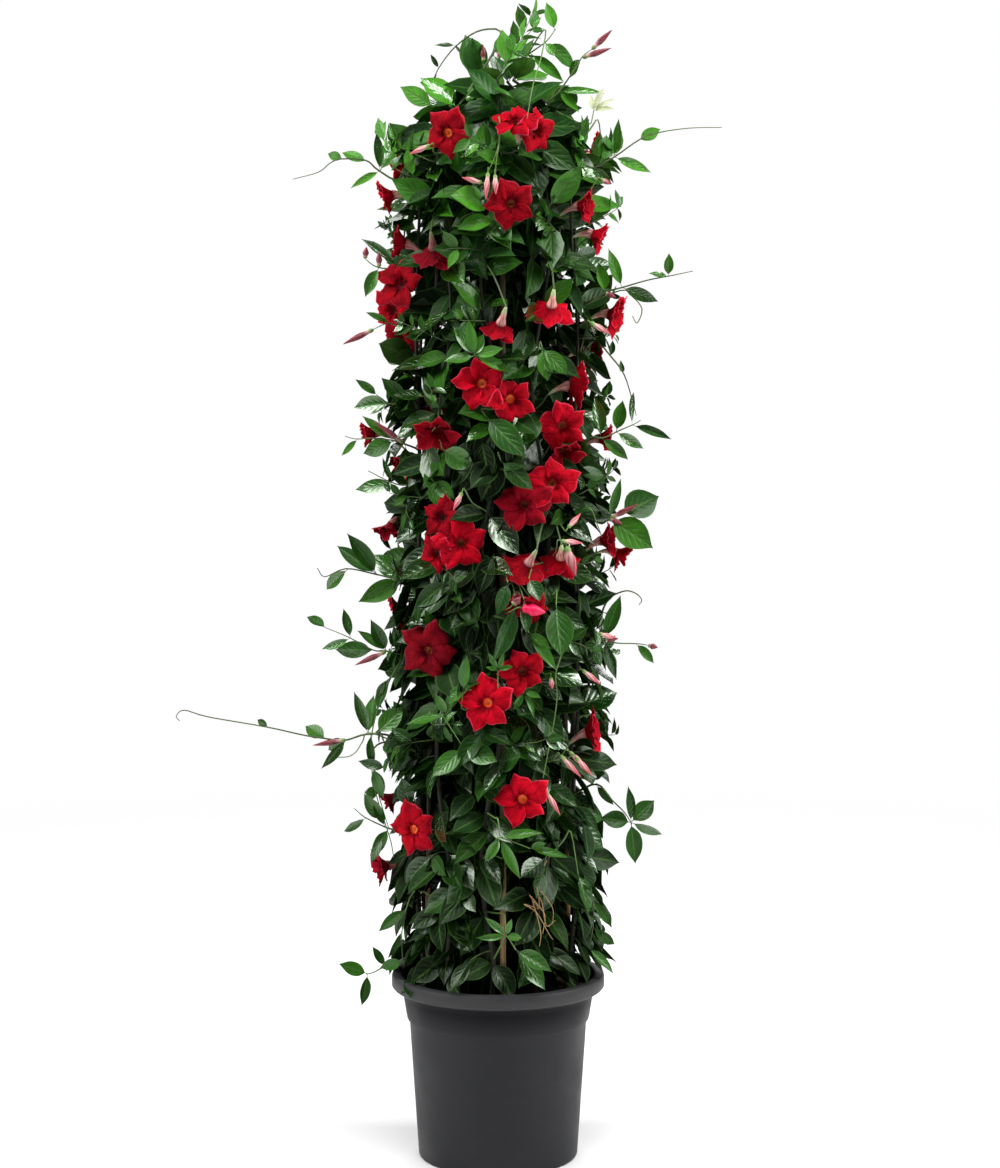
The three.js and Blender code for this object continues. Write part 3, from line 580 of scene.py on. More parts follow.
def petalMaterial(name, isFront):
    look = petalLook
    material, tree, skin = newMaterial(name, look["roughness"], look["specular"])
    within = rangesOf(tree, look)
    bright, dusky, eyed = readTone(tree)
    uv = uvPlace(tree)
    across, outwards = partsOf(tree, uv)[:2]
    patches = speckleOf(tree, *look["speckle"])[0]
    streaks = stretchedNoise(tree, uv, look["streakStretch"], look["streakDetail"])
    # the share of bright red: lighter outwards and streaked, with painted shade in the folds and under the
    # neighbouring petal, and painted light on each petal's free side
    share = multiply(
        tree, within(outwards, "outwards"), within(streaks, "streaks"), within(patches, "foldShade"),
        within(across, "tuckedShadow"), within(across, "freeSideLight"))
    red = mixColors(tree, share, look["deep"], look["bright" if isFront else "back"])
    if isFront:
        waver = add(tree, outwards, multiply(tree, streaks, look["eyeWaver"]))
        # a painted highlight along the petal's outer edge, then the eye
        layers = [(within(outwards, "rimHighlightRange"), look["rimHighlight"]),
                  (multiply(tree, within(waver, "eyeRange"), eyed), look["eye"])]
    else:
        pink = multiply(tree, within(outwards, "pinkRange"), within(streaks, "stripes"))
        layers = [(pink, look["tubePink"]), (within(outwards, "paleRange"), look["tubePale"])]
    # the dusk colour: partly the dullness of older blooms, partly painted shade
    red = laidOver(tree, red, *layers, (multiply(tree, dusky, look["duskShare"]), look["dusk"]))
    paint(tree, skin, shadeColor(tree, red, bright))
    addBump(tree, skin, add(tree, streaks, multiply(tree, patches, look["foldHeight"])), *look["relief"])
    return material


petalFront = petalMaterial("petalFront", True)
petalBack = petalMaterial("petalBack", False)

eyeLook = {
    "orange": colorOf(0.95, 0.12, 0.025), "yellow": colorOf(1.0, 0.42, 0.10),
    "roughness": 0.5, "specular": 0.5, "speckle": 300.0, "patches": (0.3, 0.7),
}
eyeMaterial, eyeTree, eyeSkin = newMaterial("bloomEye", eyeLook["roughness"], eyeLook["specular"])
eyePatches = rampBetween(eyeTree, speckleOf(eyeTree, eyeLook["speckle"])[0], *eyeLook["patches"])
# the throat is painted dark as painted shade, and the eye's orange and yellow lie over it as far as the
# bloom's tone says
paint(eyeTree, eyeSkin, petalLook["throat"], (
    readTone(eyeTree)[2], mixColors(eyeTree, eyePatches, eyeLook["orange"], eyeLook["yellow"])))

budLook = {
    "foot": colorOf(0.20, 0.34, 0.09), "pale": colorOf(0.80, 0.44, 0.42), "tip": colorOf(0.66, 0.05, 0.10),
    "streak": colorOf(0.42, 0.012, 0.04), "ripe": colorOf(0.15, 0.006, 0.018),
    "opening": colorOf(0.85, 0.004, 0.085),
    "roughness": 0.42, "specular": 0.45, "speckle": 200.0, "relief": (0.3, 0.0006),
    "paleRange": (0.10, 0.26), "tipRange": (0.34, 0.80, 0.0, 0.75), "streakCount": 5,
    "streakWidth": (-0.9, -0.2, 0.85, 0.0), "streakRange": (0.2, 0.4), "ripeRange": (0.16, 0.36, 0.1, 1.0),
    "openingRange": (0.0, -1.0),
}
budMaterial, budTree, budSkin = newMaterial("budSkin", budLook["roughness"], budLook["specular"])
budRange = rangesOf(budTree, budLook)
budAround, budAlong = partsOf(budTree, uvPlace(budTree))[:2]
budRipe = readTone(budTree)[1]
budWave = calculate(budTree, "COSINE", multiply(budTree, budAround, 2 * budLook["streakCount"] * math.pi))
budStreaks = multiply(budTree, budRange(budWave, "streakWidth"), budRange(budAlong, "streakRange"))
paint(
    budTree, budSkin, budLook["foot"], (budRange(budAlong, "paleRange"), budLook["pale"]),
    (budRange(budAlong, "tipRange"), budLook["tip"]), (budStreaks, budLook["streak"]),
    (multiply(budTree, budRipe, budRange(budAlong, "ripeRange")), budLook["ripe"]),
    (budRange(budRipe, "openingRange"), budLook["opening"]))
addBump(budTree, budSkin, speckleOf(budTree, budLook["speckle"])[0], *budLook["relief"])

potLook = {
    "plain": colorOf(0.0076, 0.008, 0.0102), "patchy": colorOf(0.0116, 0.012, 0.0143),
    "dust": colorOf(0.06, 0.055, 0.05), "neck": colorOf(0.003, 0.003, 0.004),
    "rimHighlight": colorOf(0.034, 0.034, 0.036),
    "roughness": (0.3, 0.7, 0.44, 0.58), "specular": 0.24, "speckle": (14.0, 900.0),
    "patches": (0.35, 0.7), "dustStretch": (30.0, 30.0, 120.0), "dustDetail": 4.0,
    "dustShare": (0.5, 0.8), "relief": (0.22, 0.0004),
    # by height: dust gathers upwards, the neck under the rim is painted darker as painted shade, and the rim
    # is painted lighter as a painted highlight
    "dustHeight": (0.20, 0.28, 0.05, 0.30), "neckShadeHeight": (0.206, 0.250, 0.0, 0.7),
    "rimHighlightHeight": (0.2555, 0.2575), "wallShine": (0.204, 0.250, 0.24, 0.08),
    "rimShine": (0.253, 0.2575, 0.0, 0.18),
}
potMaterial, potTree, potSkin = newMaterial("potPlastic", 0.5, potLook["specular"])
potRange = rangesOf(potTree, potLook)
potPatches, potGrain = speckleOf(potTree, *potLook["speckle"])
potHeight = partsOf(potTree, objectPlace(potTree))[2]
potDust = stretchedNoise(potTree, objectPlace(potTree), potLook["dustStretch"], potLook["dustDetail"])
potDustShare = multiply(potTree, potRange(potDust, "dustShare"), potRange(potHeight, "dustHeight"))
paint(
    potTree, potSkin, potLook["plain"], (potRange(potPatches, "patches"), potLook["patchy"]),
    # painted shade under the rim, then a painted highlight on the rim
    (potDustShare, potLook["dust"]), (potRange(potHeight, "neckShadeHeight"), potLook["neck"]),
    (potRange(potHeight, "rimHighlightHeight"), potLook["rimHighlight"]))
potShine = add(potTree, potRange(potHeight, "wallShine"), potRange(potHeight, "rimShine"))
potTree.links.new(potShine, potSkin["Specular IOR Level"])
potTree.links.new(potRange(potPatches, "roughness"), potSkin["Roughness"])
addBump(potTree, potSkin, potGrain, *potLook["relief"])

caneLook = {
    "dark": colorOf(0.27, 0.15, 0.06), "light": colorOf(0.46, 0.29, 0.13),
    "knot": colorOf(0.10, 0.055, 0.025), "caneShade": colorOf(0.02, 0.024, 0.01),
    "roughness": 0.5, "specular": 0.4, "stretch": (900.0, 900.0, 14.0), "detail": 3.0,
    "fibres": (0.35, 0.65), "relief": (0.3, 0.0004),
    # higher up, under the leaves, the canes are painted dark green as painted shade
    "caneShadeHeight": (0.40, 0.50, 0.0, 0.9),
}
caneMaterial, caneTree, caneSkin = newMaterial("caneSkin", caneLook["roughness"], caneLook["specular"])
caneFibres = stretchedNoise(caneTree, objectPlace(caneTree), caneLook["stretch"], caneLook["detail"])
caneHeight = partsOf(caneTree, objectPlace(caneTree))[2]
caneRange = rangesOf(caneTree, caneLook)
paint(
    caneTree, caneSkin, caneLook["dark"], (caneRange(caneFibres, "fibres"), caneLook["light"]),
    (partsOf(caneTree, uvPlace(caneTree))[0], caneLook["knot"]),
    # painted shade on the canes higher up
    (caneRange(caneHeight, "caneShadeHeight"), caneLook["caneShade"]))
addBump(caneTree, caneSkin, caneFibres, *caneLook["relief"])

chipLook = {
    "dark": colorOf(0.022, 0.014, 0.009), "light": colorOf(0.13, 0.075, 0.04),
    "patch": colorOf(0.05, 0.03, 0.02), "roughness": 0.9, "specular": 0.25,
    "speckle": (160.0, 900.0), "patches": (0.4, 0.7), "relief": (0.6, 0.001),
}
chipMaterial, chipTree, chipSkin = newMaterial("barkChip", chipLook["roughness"], chipLook["specular"])
chipPatches, chipGrain = speckleOf(chipTree, *chipLook["speckle"])
paint(
    chipTree, chipSkin, chipLook["dark"], (readTone(chipTree)[0], chipLook["light"]),
    (rampBetween(chipTree, chipPatches, *chipLook["patches"]), chipLook["patch"]))
addBump(chipTree, chipSkin, chipGrain, *chipLook["relief"])
print("materials made")


# the plan of the plant: the same rules, in millimetres, that the solids follow

vinePlan = {
    "count": 10, "turn": 13, "foot": 178, "footCircle": 110, "circle": 121, "spread": 150,
    "wander": 7, "waver": 2.4, "pitch": 430, "jointGap": 73, "band": 5, "joints": 19,
    "domeStart": 1455, "domeRadius": 150, "domeRise": 160, "domeLean": 75,
}
straightRun = vinePlan["domeStart"] - vinePlan["foot"]
allVines = range(vinePlan["count"])


def vinePlace(vine, joint):
    travel = joint * vinePlan["jointGap"]
    height = vinePlan["foot"] + travel
    spread = clamp01((travel - vinePlan["jointGap"]) / vinePlan["spread"])
    radius = mix(vinePlan["footCircle"], vinePlan["circle"], spread)
    if travel > straightRun:
        bend = (travel - straightRun) / vinePlan["domeRadius"]
        radius = vinePlan["circle"] - vinePlan["domeRadius"] * (1 - math.cos(bend))
        height = vinePlan["domeStart"] + vinePlan["domeRise"] * math.sin(bend)
    phase = 2 * math.pi * height / vinePlan["pitch"] + vinePlan["waver"] * vine
    sway = vinePlan["wander"] * spread * math.sin(phase)
    return around(vinePlan["turn"] + 360 / vinePlan["count"] * vine + sway, radius, height)


def vineJoints(vine):
    return vinePlan["joints"] + vine % 2


def nearestJoint(vine, place):
    return min(range(2, vineJoints(vine) + 1), key=lambda joint: (vinePlace(vine, joint) - place).length)


def nearestOnVines(place):
    near = [(vine, nearestJoint(vine, place)) for vine in allVines]
    return min(near, key=lambda pair: (vinePlace(*pair) - place).length)


def rootNear(place):
    return vinePlace(*nearestOnVines(place))


def outwardAt(place, joint):
    lean = clamp01((joint * vinePlan["jointGap"] - straightRun) / (1.5 * vinePlan["domeRadius"]))
    bend = math.radians(lean * vinePlan["domeLean"])
    return levelOut(place) * math.cos(bend) + zAxis * math.sin(bend)


leafPlan = {
    "length": 62, "lengthSpread": 20, "arch": 0.1, "lowest": 250, "highest": 1500,
    # lift, narrowing and size of each try
    "tries": [(0, 1, 1), (0.5, 1, 1), (-0.5, 1, 1), (0, 0.4, 1), (0.25, 1, 0.8), (-0.3, 0.4, 0.8)],
}


def climbOf(height):
    return (height - leafPlan["lowest"]) / (leafPlan["highest"] - leafPlan["lowest"])


def newLeaf(base, along, wish, length, width, **marks):
    return {"base": base, "along": along, "face": squareTo(along, wish), "length": length,
            "width": width, **marks}


def archedLeaf(base, tip, wish, width, **marks):
    # sets off a little above the line to its tip, and bends back to it
    line = tip - base
    face = squareTo(line.normalized(), wish)
    length = line.length / math.hypot(1, leafPlan["arch"])
    return newLeaf(
        base, (line + face * leafPlan["arch"] * length).normalized(), face, length, width, **marks)


def straightLeaf(base, tip, wish, width):
    line = tip - base
    return newLeaf(base, line.normalized(), wish, line.length, width)


def leafPoint(leaf, share, across=0):
    side = leaf["face"].cross(leaf["along"])
    return (leaf["base"] + leaf["along"] * share * leaf["length"]
            - leaf["face"] * leafPlan["arch"] * leaf["length"] * share * share
            + side * across * leaf["width"] * 0.5)


def leafAim(draw, base, joint, hand, lift, narrow):
    outward = outwardAt(base, joint)
    sideways = zAxis.cross(outward).normalized()
    climb = climbOf(base.z)
    across = hand * (0.35 + 0.5 * draw()) * narrow
    out = 0.45 + 0.25 * draw()
    rise = mix(-1, -0.4, climb) + draw() * mix(0.5, 0.9, climb) + lift
    along = (sideways * across + outward * out + zAxis * rise).normalized()
    return outward, sideways, along


def vineLeaf(vine, joint, hand, attempt):
    draw = drawsFrom(1000 * vine + 10 * joint + hand + 1)
    lift, narrow, size = leafPlan["tries"][attempt]
    base = vinePlace(vine, joint).lerp(
        vinePlace(vine, joint - 1), 0.5 * vinePlan["band"] / vinePlan["jointGap"])
    outward, sideways, along = leafAim(draw, base, joint, hand, lift, narrow)
    length = (leafPlan["length"] + leafPlan["lengthSpread"] * draw()) * size
    width = length * (0.42 + 0.14 * draw())
    return newLeaf(base, along, outward * 0.8 + zAxis * 0.55 + sideways * (draw() - 0.5), length, width)


shootPlan = {"band": 3, "tries": [0, 0.35, -0.35, 0.7, -0.7]}

# side growth: joints of each route as x and z in a plane y = depth,
# leaves as joint, x and z of the tip and width, buds as joint, x and z of the tip
shoots = [
    {"vine": 7, "depth": -25, "route": [(20, 1624), (49, 1644), (70, 1659), (84, 1677)],
     "leaves": [(3, 70, 1715, 18), (2, 86, 1637, 14), (1, 96, 1602, 18), (2, 116, 1624, 26),
      (0, 35, 1661, 9)]},
    {"vine": 9, "depth": -35, "route": [(73, 1570), (90, 1588), (113, 1621), (123, 1637), (138, 1648)],
     "leaves": [(1, 20, 1594, 14), (1, 154, 1584, 14), (1, 118, 1557, 15), (2, 99, 1643, 18),
      (3, 104, 1608, 15)],
     "buds": [(4, 165, 1674), (3, 164, 1648)]},
    {"vine": 6, "depth": -20, "route": [(4, 1664), (-23, 1676), (-60, 1654), (-87, 1620), (-96, 1595)],
     "leaves": [(0, 20, 1647, 21), (4, -114, 1601, 12)]},
    {"vine": 9, "depth": -45, "route": [(136, 1476), (157, 1486), (171, 1493), (206, 1517), (235, 1527),
      (278, 1533), (324, 1534)],
     "leaves": [(2, 175, 1547, 12), (2, 223, 1470, 16), (3, 236, 1532, 18), (1, 158, 1524, 24),
      (0, 165, 1453, 14)]},
    {"vine": 9, "depth": -55, "route": [(137, 1285), (158, 1297), (183, 1304), (218, 1314), (250, 1320),
      (283, 1327)],
     "leaves": [(2, 160, 1360, 16), (4, 218, 1323, 12), (4, 248, 1353, 15), (2, 233, 1282, 18),
      (1, 145, 1340, 18)],
     "buds": [(1, 171, 1289)]},
    {"vine": 0, "depth": -10, "route": [(141, 1227), (168, 1201), (186, 1176), (198, 1139), (204, 1116)],
     "leaves": [(1, 169, 1227, 9), (1, 181, 1213, 14), (2, 180, 1198, 8)]},
    {"vine": 9, "depth": -60, "route": [(131, 1085), (153, 1085), (175, 1095), (198, 1105), (208, 1111)],
     "leaves": [(2, 182, 1140, 20), (3, 199, 1152, 9), (3, 254, 1083, 14), (2, 213, 1069, 16),
      (1, 191, 1053, 18), (1, 141, 1146, 20)]},
    {"vine": 9, "depth": -50, "route": [(147, 962), (166, 967), (182, 975)],
     "leaves": [(2, 237, 998, 46), (1, 227, 923, 45), (1, 180, 1026, 14), (0, 176, 935, 27)],
     "buds": [(1, 205, 988), (1, 182, 959)]},
    {"vine": 0, "depth": -15, "route": [(147, 816), (159, 837), (169, 849), (190, 857), (206, 852),
      (213, 843), (209, 836)],
     "leaves": []},
    {"vine": 9, "depth": -50, "route": [(138, 790), (159, 788), (175, 783), (206, 782), (224, 779)],
     "leaves": [(1, 181, 853, 21), (1, 175, 727, 15), (3, 230, 752, 14), (0, 153, 746, 15)],
     "buds": [(1, 177, 790), (4, 235, 777)]},
    {"vine": 0, "depth": -20, "route": [(147, 568), (170, 544), (188, 526), (200, 508)],
     "leaves": [(3, 152, 517, 27), (3, 194, 565, 14), (3, 234, 541, 28), (3, 248, 484, 15),
      (3, 205, 447, 26), (3, 173, 490, 12), (0, 173, 535, 12)]},
    {"vine": 9, "depth": -45, "route": [(131, 428), (141, 398), (141, 356), (134, 323)],
     "leaves": [(0, 160, 466, 14), (1, 171, 354, 14), (2, 176, 323, 15), (3, 173, 288, 15)]},
    {"vine": 5, "depth": -40, "route": [(-142, 1459), (-174, 1473), (-192, 1487), (-228, 1489),
      (-244, 1483), (-261, 1470), (-298, 1460)],
     "leaves": [(2, -228, 1500, 16), (3, -248, 1498, 14), (1, -177, 1529, 15), (1, -214, 1446, 12),
      (1, -148, 1513, 24), (0, -166, 1413, 18)]},
    {"vine": 5, "depth": -45, "route": [(-148, 1332), (-176, 1333), (-196, 1347)],
     "leaves": [(1, -194, 1290, 18), (0, -198, 1375, 12)],
     "buds": [(1, -173, 1355), (2, -191, 1362)]},
    {"vine": 5, "depth": -30, "route": [(-141, 1248), (-161, 1252), (-184, 1242)],
     "leaves": [(0, -185, 1207, 15), (1, -193, 1268, 9)],
     "buds": [(2, -227, 1221)]},
    {"vine": 5, "depth": -35, "route": [(-123, 1137), (-138, 1137), (-158, 1134), (-179, 1148)],
     "leaves": [(3, -208, 1170, 12), (2, -214, 1128, 27), (1, -170, 1172, 21)]},
    {"vine": 5, "depth": -45, "route": [(-117, 1067), (-138, 1076), (-155, 1081), (-184, 1084),
      (-208, 1083), (-224, 1087)],
     "leaves": [(2, -199, 1117, 14), (2, -198, 1061, 27), (1, -136, 1023, 18), (2, -169, 1024, 10),
      (4, -230, 1058, 10)],
     "buds": [(1, -181, 1109)]},
    {"vine": 5, "depth": -35, "route": [(-115, 1025), (-135, 1015), (-157, 1019), (-191, 1036)],
     "leaves": [(2, -210, 1008, 21), (1, -147, 984, 18), (2, -170, 1056, 9)]},
    {"vine": 5, "depth": -40, "route": [(-127, 875), (-143, 875), (-181, 884), (-224, 892), (-255, 880),
      (-266, 893)],
     "leaves": [(1, -205, 844, 30), (1, -185, 911, 27), (2, -221, 945, 24), (2, -240, 923, 21),
      (2, -191, 949, 15), (3, -255, 858, 18)]},
    {"vine": 5, "depth": -45, "route": [(-139, 765), (-167, 771), (-184, 772), (-220, 791), (-256, 806)],
     "leaves": [(4, -283, 820, 15), (3, -228, 833, 14), (2, -242, 769, 26), (3, -261, 772, 12),
      (1, -208, 800, 15), (1, -186, 821, 21), (0, -153, 811, 14)],
     "buds": [(1, -211, 750)]},
    {"vine": 5, "depth": -40, "route": [(-157, 643), (-195, 646), (-227, 637), (-258, 640), (-289, 645),
      (-343, 657), (-429, 672), (-464, 682), (-476, 673), (-471, 666)],
     "leaves": [(3, -287, 655, 22), (2, -253, 620, 21), (5, -358, 666, 10), (1, -213, 709, 16),
      (1, -186, 702, 21), (0, -145, 691, 33), (2, -261, 596, 14)],
     "buds": [(2, -274, 630)]},
    {"vine": 5, "depth": -30, "route": [(-157, 633), (-184, 624), (-184, 591), (-177, 552), (-162, 501)],
     "leaves": [(1, -187, 585, 12), (2, -176, 546, 18), (3, -199, 558, 20), (4, -188, 458, 20)]},
    {"vine": 5, "depth": -50, "route": [(-148, 501), (-170, 510), (-198, 524), (-213, 537)],
     "leaves": [(2, -230, 497, 10), (1, -186, 549, 15)]},
    {"vine": 6, "depth": -75, "route": [(-118, 419), (-136, 389), (-142, 356), (-141, 311)],
     "leaves": [(0, -162, 415, 39), (1, -177, 356, 18), (2, -163, 314, 10), (3, -175, 301, 18)]},
    {"vine": 5, "depth": -50, "route": [(-146, 306), (-170, 298), (-185, 290), (-197, 287)],
     "leaves": [(3, -237, 304, 21), (3, -223, 333, 14), (1, -187, 330, 12), (1, -174, 331, 9),
      (3, -203, 239, 16)]},
]


def shootRoute(shoot):
    route = [Vector((x, shoot["depth"], z)) for x, z in shoot["route"]]
    return [vinePlace(shoot["vine"], nearestJoint(shoot["vine"], route[0])), *route]


def shootFoot(shoot, joint):
    route = shootRoute(shoot)
    return route[joint + 1] + (route[joint] - route[joint + 1]).normalized() * shootPlan["band"]


def shootLeaf(shoot, shootNumber, leafNumber, attempt):
    draw = drawsFrom(50000 + 100 * shootNumber + leafNumber)
    joint, x, z, width = shoot["leaves"][leafNumber]
    base = shootFoot(shoot, joint)
    reach = math.hypot(x - base.x, z - base.z)
    tip = Vector((x, base.y + reach * (0.5 * (draw() - 0.5) + shootPlan["tries"][attempt]), z))
    wish = Vector((0.8 * (draw() - 0.5), -1, 0.6 * draw()))
    return archedLeaf(base, tip, wish, width, onShoot=True)


bloomPlan = {
    "petalBackDepth": 9, "tube": 36, "drop": 14, "stalkDrop": 20, "stalkRise": 60, "stalkGap": 0.85,
}

# each group is one node: place round the column, distance, height, facing, tilt, width, spin
frontBlooms = [
    [(242, 156, 1519, 245, -8, 66, 10)],
    [(279, 156, 1536, 258, 42, 64, 42), (291, 156, 1521, 308, -6, 62, 42)],
    [(277, 156, 1419, 274, -6, 64, 62)], [(197, 165, 1435, 185, -15, 50, 20)],
    [(233, 152, 1352, 80, -52, 62, 30)], [(202, 150, 1367, 175, 10, 46, 50)],
    [(204, 156, 1309, 240, 18, 72, 35)],
    [(180, 156, 1270, 225, -15, 66, 10), (180, 145, 1227, 229, -25, 56, 0)],
    [(300, 152, 1272, 98, -48, 64, 15)], [(271, 152, 1246, 112, -50, 48, 40)],
    [(349, 170, 1264, 345, -12, 66, 5)], [(324, 150, 1419, 342, 0, 50, 25)],
    [(332, 160, 1377, 350, -20, 46, 65)], [(315, 150, 1160, 18, -6, 70, 45)],
    [(261, 156, 1166, 256, 2, 72, 52), (277, 156, 1143, 286, -8, 64, 67)],
    [(236, 156, 1097, 258, -36, 66, 22)],
    [(307, 156, 1103, 284, -22, 68, 58), (312, 144, 1067, 292, -35, 52, 24)],
    [(348, 158, 1083, 352, 0, 40, 35)], [(180, 188, 1089, 190, -10, 36, 55)],
    [(192, 140, 1044, 208, -25, 44, 5)],
    [(300, 156, 1023, 272, 8, 72, 42), (285, 144, 992, 260, -2, 78, 52)],
    [(238, 156, 974, 248, 8, 56, 30), (249, 148, 937, 272, 0, 72, 47), (235, 156, 920, 240, -18, 54, 0)],
    [(180, 160, 949, 230, -55, 46, 20)], [(286, 152, 905, 120, -44, 70, 0)],
    [(307, 150, 912, 92, -40, 56, 40)], [(342, 165, 935, 342, 10, 50, 60), (348, 181, 913, 7, -28, 50, 0)],
    [(280, 156, 855, 272, -42, 46, 45), (289, 156, 843, 294, -30, 46, 10)],
    [(229, 156, 778, 254, -10, 80, 22)], [(283, 156, 753, 274, 0, 64, 62)],
    [(264, 156, 708, 254, 0, 74, 50)], [(334, 150, 653, 352, 12, 68, 30)],
    [(283, 156, 567, 266, -4, 74, 57)], [(216, 156, 512, 236, -4, 74, 55)],
    [(180, 171, 440, 200, -10, 54, 65)], [(180, 160, 542, 195, -25, 40, 15)],
]
backBlooms = [
    [(25, 156, 1500, 20, 5, 66, 35), (38, 156, 1479, 50, -10, 68, 12)],
    [(92, 156, 1385, 85, 0, 72, 55), (107, 156, 1368, 118, -12, 66, 12)],
    [(150, 156, 1490, 150, 5, 70, 45)], [(30, 156, 1210, 25, -8, 70, 15), (44, 156, 1224, 58, 6, 64, 0)],
    [(132, 156, 1130, 125, 0, 72, 40), (147, 152, 1113, 158, -15, 66, 24)],
    [(80, 156, 1050, 76, 0, 70, 60), (94, 156, 1021, 104, -10, 72, 36)],
    [(148, 156, 800, 142, 4, 72, 0), (163, 156, 821, 184, -8, 62, 24)],
    [(38, 156, 792, 34, 0, 72, 20), (52, 156, 768, 62, -12, 66, 12)],
    [(100, 156, 600, 96, 2, 70, 42), (114, 156, 580, 122, -10, 68, 0)],
]


def bloomFrame(bloom, number):
    angle, radius, height, turn, tilt, size, spin = bloom
    level, lift = math.radians(turn), math.radians(tilt)
    out = Vector((math.cos(level) * math.cos(lift), math.sin(level) * math.cos(lift), math.sin(lift)))
    side = squareTo(out, Vector((-math.sin(level), math.cos(level), 0)))
    middle = around(angle, radius, height)
    # a bloom that faces inwards hangs from a stalk above it
    hangs = middle.x * out.x + middle.y * out.y < 0
    drop = 0 if hangs else bloomPlan["drop"]
    return {
        "middle": middle, "out": out, "side": side, "up": out.cross(side), "half": size / 2,
        "spin": math.radians(spin), "number": number, "hangs": hangs, "drop": drop,
        "tubeEnd": middle - out * bloomPlan["tube"] - zAxis * drop,
    }


bloomGroups = [
    [bloomFrame(bloom, 10 * groupNumber + i) for i, bloom in enumerate(group)]
    for groupNumber, group in enumerate(frontBlooms + backBlooms)
]
allBlooms = [plan for group in bloomGroups for plan in group]


def stalkPlan(plan):
    rise = bloomPlan["stalkRise"] if plan["hangs"] else -bloomPlan["stalkDrop"]
    vine, joint = nearestOnVines(plan["tubeEnd"] + zAxis * rise)
    away = (plan["tubeEnd"] - (plan["middle"] - plan["out"] * bloomPlan["petalBackDepth"])).normalized()
    return vine, vinePlace(vine, joint), plan["tubeEnd"] + away * bloomPlan["stalkGap"]


# the leaves that the solids hold: the try whose tip is a corner of the vine's mesh
cornerTrees = []
for vine in allVines:
    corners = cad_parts["vine_%d" % (vine + 1)].data.vertices
    tree = KDTree(len(corners))
    for i, corner in enumerate(corners):
        tree.insert(corner.co, i)
    tree.balance()
    cornerTrees.append(tree)
nearEnough = 0.0005


def keepFound(vine, leaves):
    for leaf in leaves:
        if cornerTrees[vine].find(leafPoint(leaf, 1) * mm)[2] < nearEnough:
            mainLeaves[vine].append(leaf)
            return


mainLeaves = [[] for vine in allVines]
for number, shoot in enumerate(shoots):
    for leafNumber in range(len(shoot["leaves"])):
        tries = range(len(shootPlan["tries"]))
        keepFound(shoot["vine"], [shootLeaf(shoot, number, leafNumber, i) for i in tries])
for vine in allVines:
    for joint in range(1, vineJoints(vine) + 1):
        for hand in (-1, 1):
            tries = range(len(leafPlan["tries"]))
            keepFound(vine, [vineLeaf(vine, joint, hand, i) for i in tries])
print("leaves found in the solids:", sum(len(leaves) for leaves in mainLeaves))


# shapes that are modelled once and copied

leafShape = {
    # place along the leaf and share of its width, row by row
    "rows": [(0, 0.04), (0.10, 0.05), (0.15, 0.28), (0.22, 0.60), (0.31, 0.85), (0.42, 0.98), (0.53, 1.0),
             (0.64, 0.92), (0.74, 0.74), (0.83, 0.49), (0.91, 0.23), (0.96, 0.08), (1.0, 0.01)],
    "columns": 4,
    "smallRows": [(0, 0.05), (0.1, 0.08), (0.22, 0.68), (0.46, 1.0), (0.7, 0.78), (0.88, 0.28), (1.0, 0.01)],
    "smallColumns": 2,
    "thickness": 0.007, "waveSize": 0.35, "asideWhileShaping": 2,
    # arch at the tip, fold of the margins, strength of the waves, twist in degrees
    "forms": [(-0.10, 0.055, 0.014, 4), (-0.15, 0.080, 0.022, -10), (-0.06, 0.040, 0.032, 12),
              (-0.12, 0.105, 0.016, -5)],
}


def modelLeaf(name, rows, columns, arch, fold, wave, twist):
    steps = len(rows) - 1
    aside = leafShape["asideWhileShaping"]
    leaf = newPrimitive(
        name, bpy.ops.mesh.primitive_grid_add, x_subdivisions=columns, y_subdivisions=steps, size=1)
    for beyond, share in ((0.2, 0.4), (0.45, 0.6)):
        pickVertices(leaf, lambda co: abs(co.x) > beyond)
        bpy.ops.transform.translate(value=(0, 0, fold * share))
    for i, (along, width) in enumerate(rows):
        level = -0.5 + i / steps
        pickVertices(leaf, lambda co: abs(co.y - level) < 0.01)
        bpy.ops.transform.resize(value=(width, 1, min(1, width * 1.2)), center_override=(0, level, 0))
        bpy.ops.transform.translate(value=(0, along - level + aside, arch * along * along))
    bpy.ops.mesh.select_all(action="SELECT")
    bpy.ops.transform.translate(value=(0, -aside, 0))
    endEdit()
    margin = leaf.vertex_groups.new(name="margin")
    for vertex in leaf.data.vertices:
        margin.add([vertex.index], min(1, abs(vertex.co.x) * 2.2), "REPLACE")
    addModifier(leaf, "waves", "DISPLACE", texture=newClouds(name + "Waves", leafShape["waveSize"]),
                strength=wave * 4, mid_level=0.5, vertex_group="margin")
    addModifier(leaf, "twist", "SIMPLE_DEFORM", deform_method="TWIST", deform_axis="Y",
                angle=math.radians(twist))
    applyAll(leaf)
    # the underside: a turned-over copy, sunk a little and sewn on along the margin
    startEdit()
    bpy.ops.mesh.duplicate()
    bpy.ops.mesh.flip_normals()
    endEdit()
    edgeCount = [0] * len(leaf.data.vertices)
    for face in leaf.data.polygons:
        face.material_index = 1 if face.index >= len(leaf.data.polygons) // 2 else 0
        for corner in face.vertices:
            edgeCount[corner] += 1
    for vertex in leaf.data.vertices:
        vertex.select = vertex.index >= len(edgeCount) // 2 and edgeCount[vertex.index] == 4
    bpy.ops.object.mode_set(mode="EDIT")
    bpy.ops.transform.translate(value=(0, 0, -leafShape["thickness"]))
    bpy.ops.mesh.select_all(action="SELECT")
    bpy.ops.mesh.remove_doubles(threshold=0.00001)
    endEdit()
    return readShape(leaf)


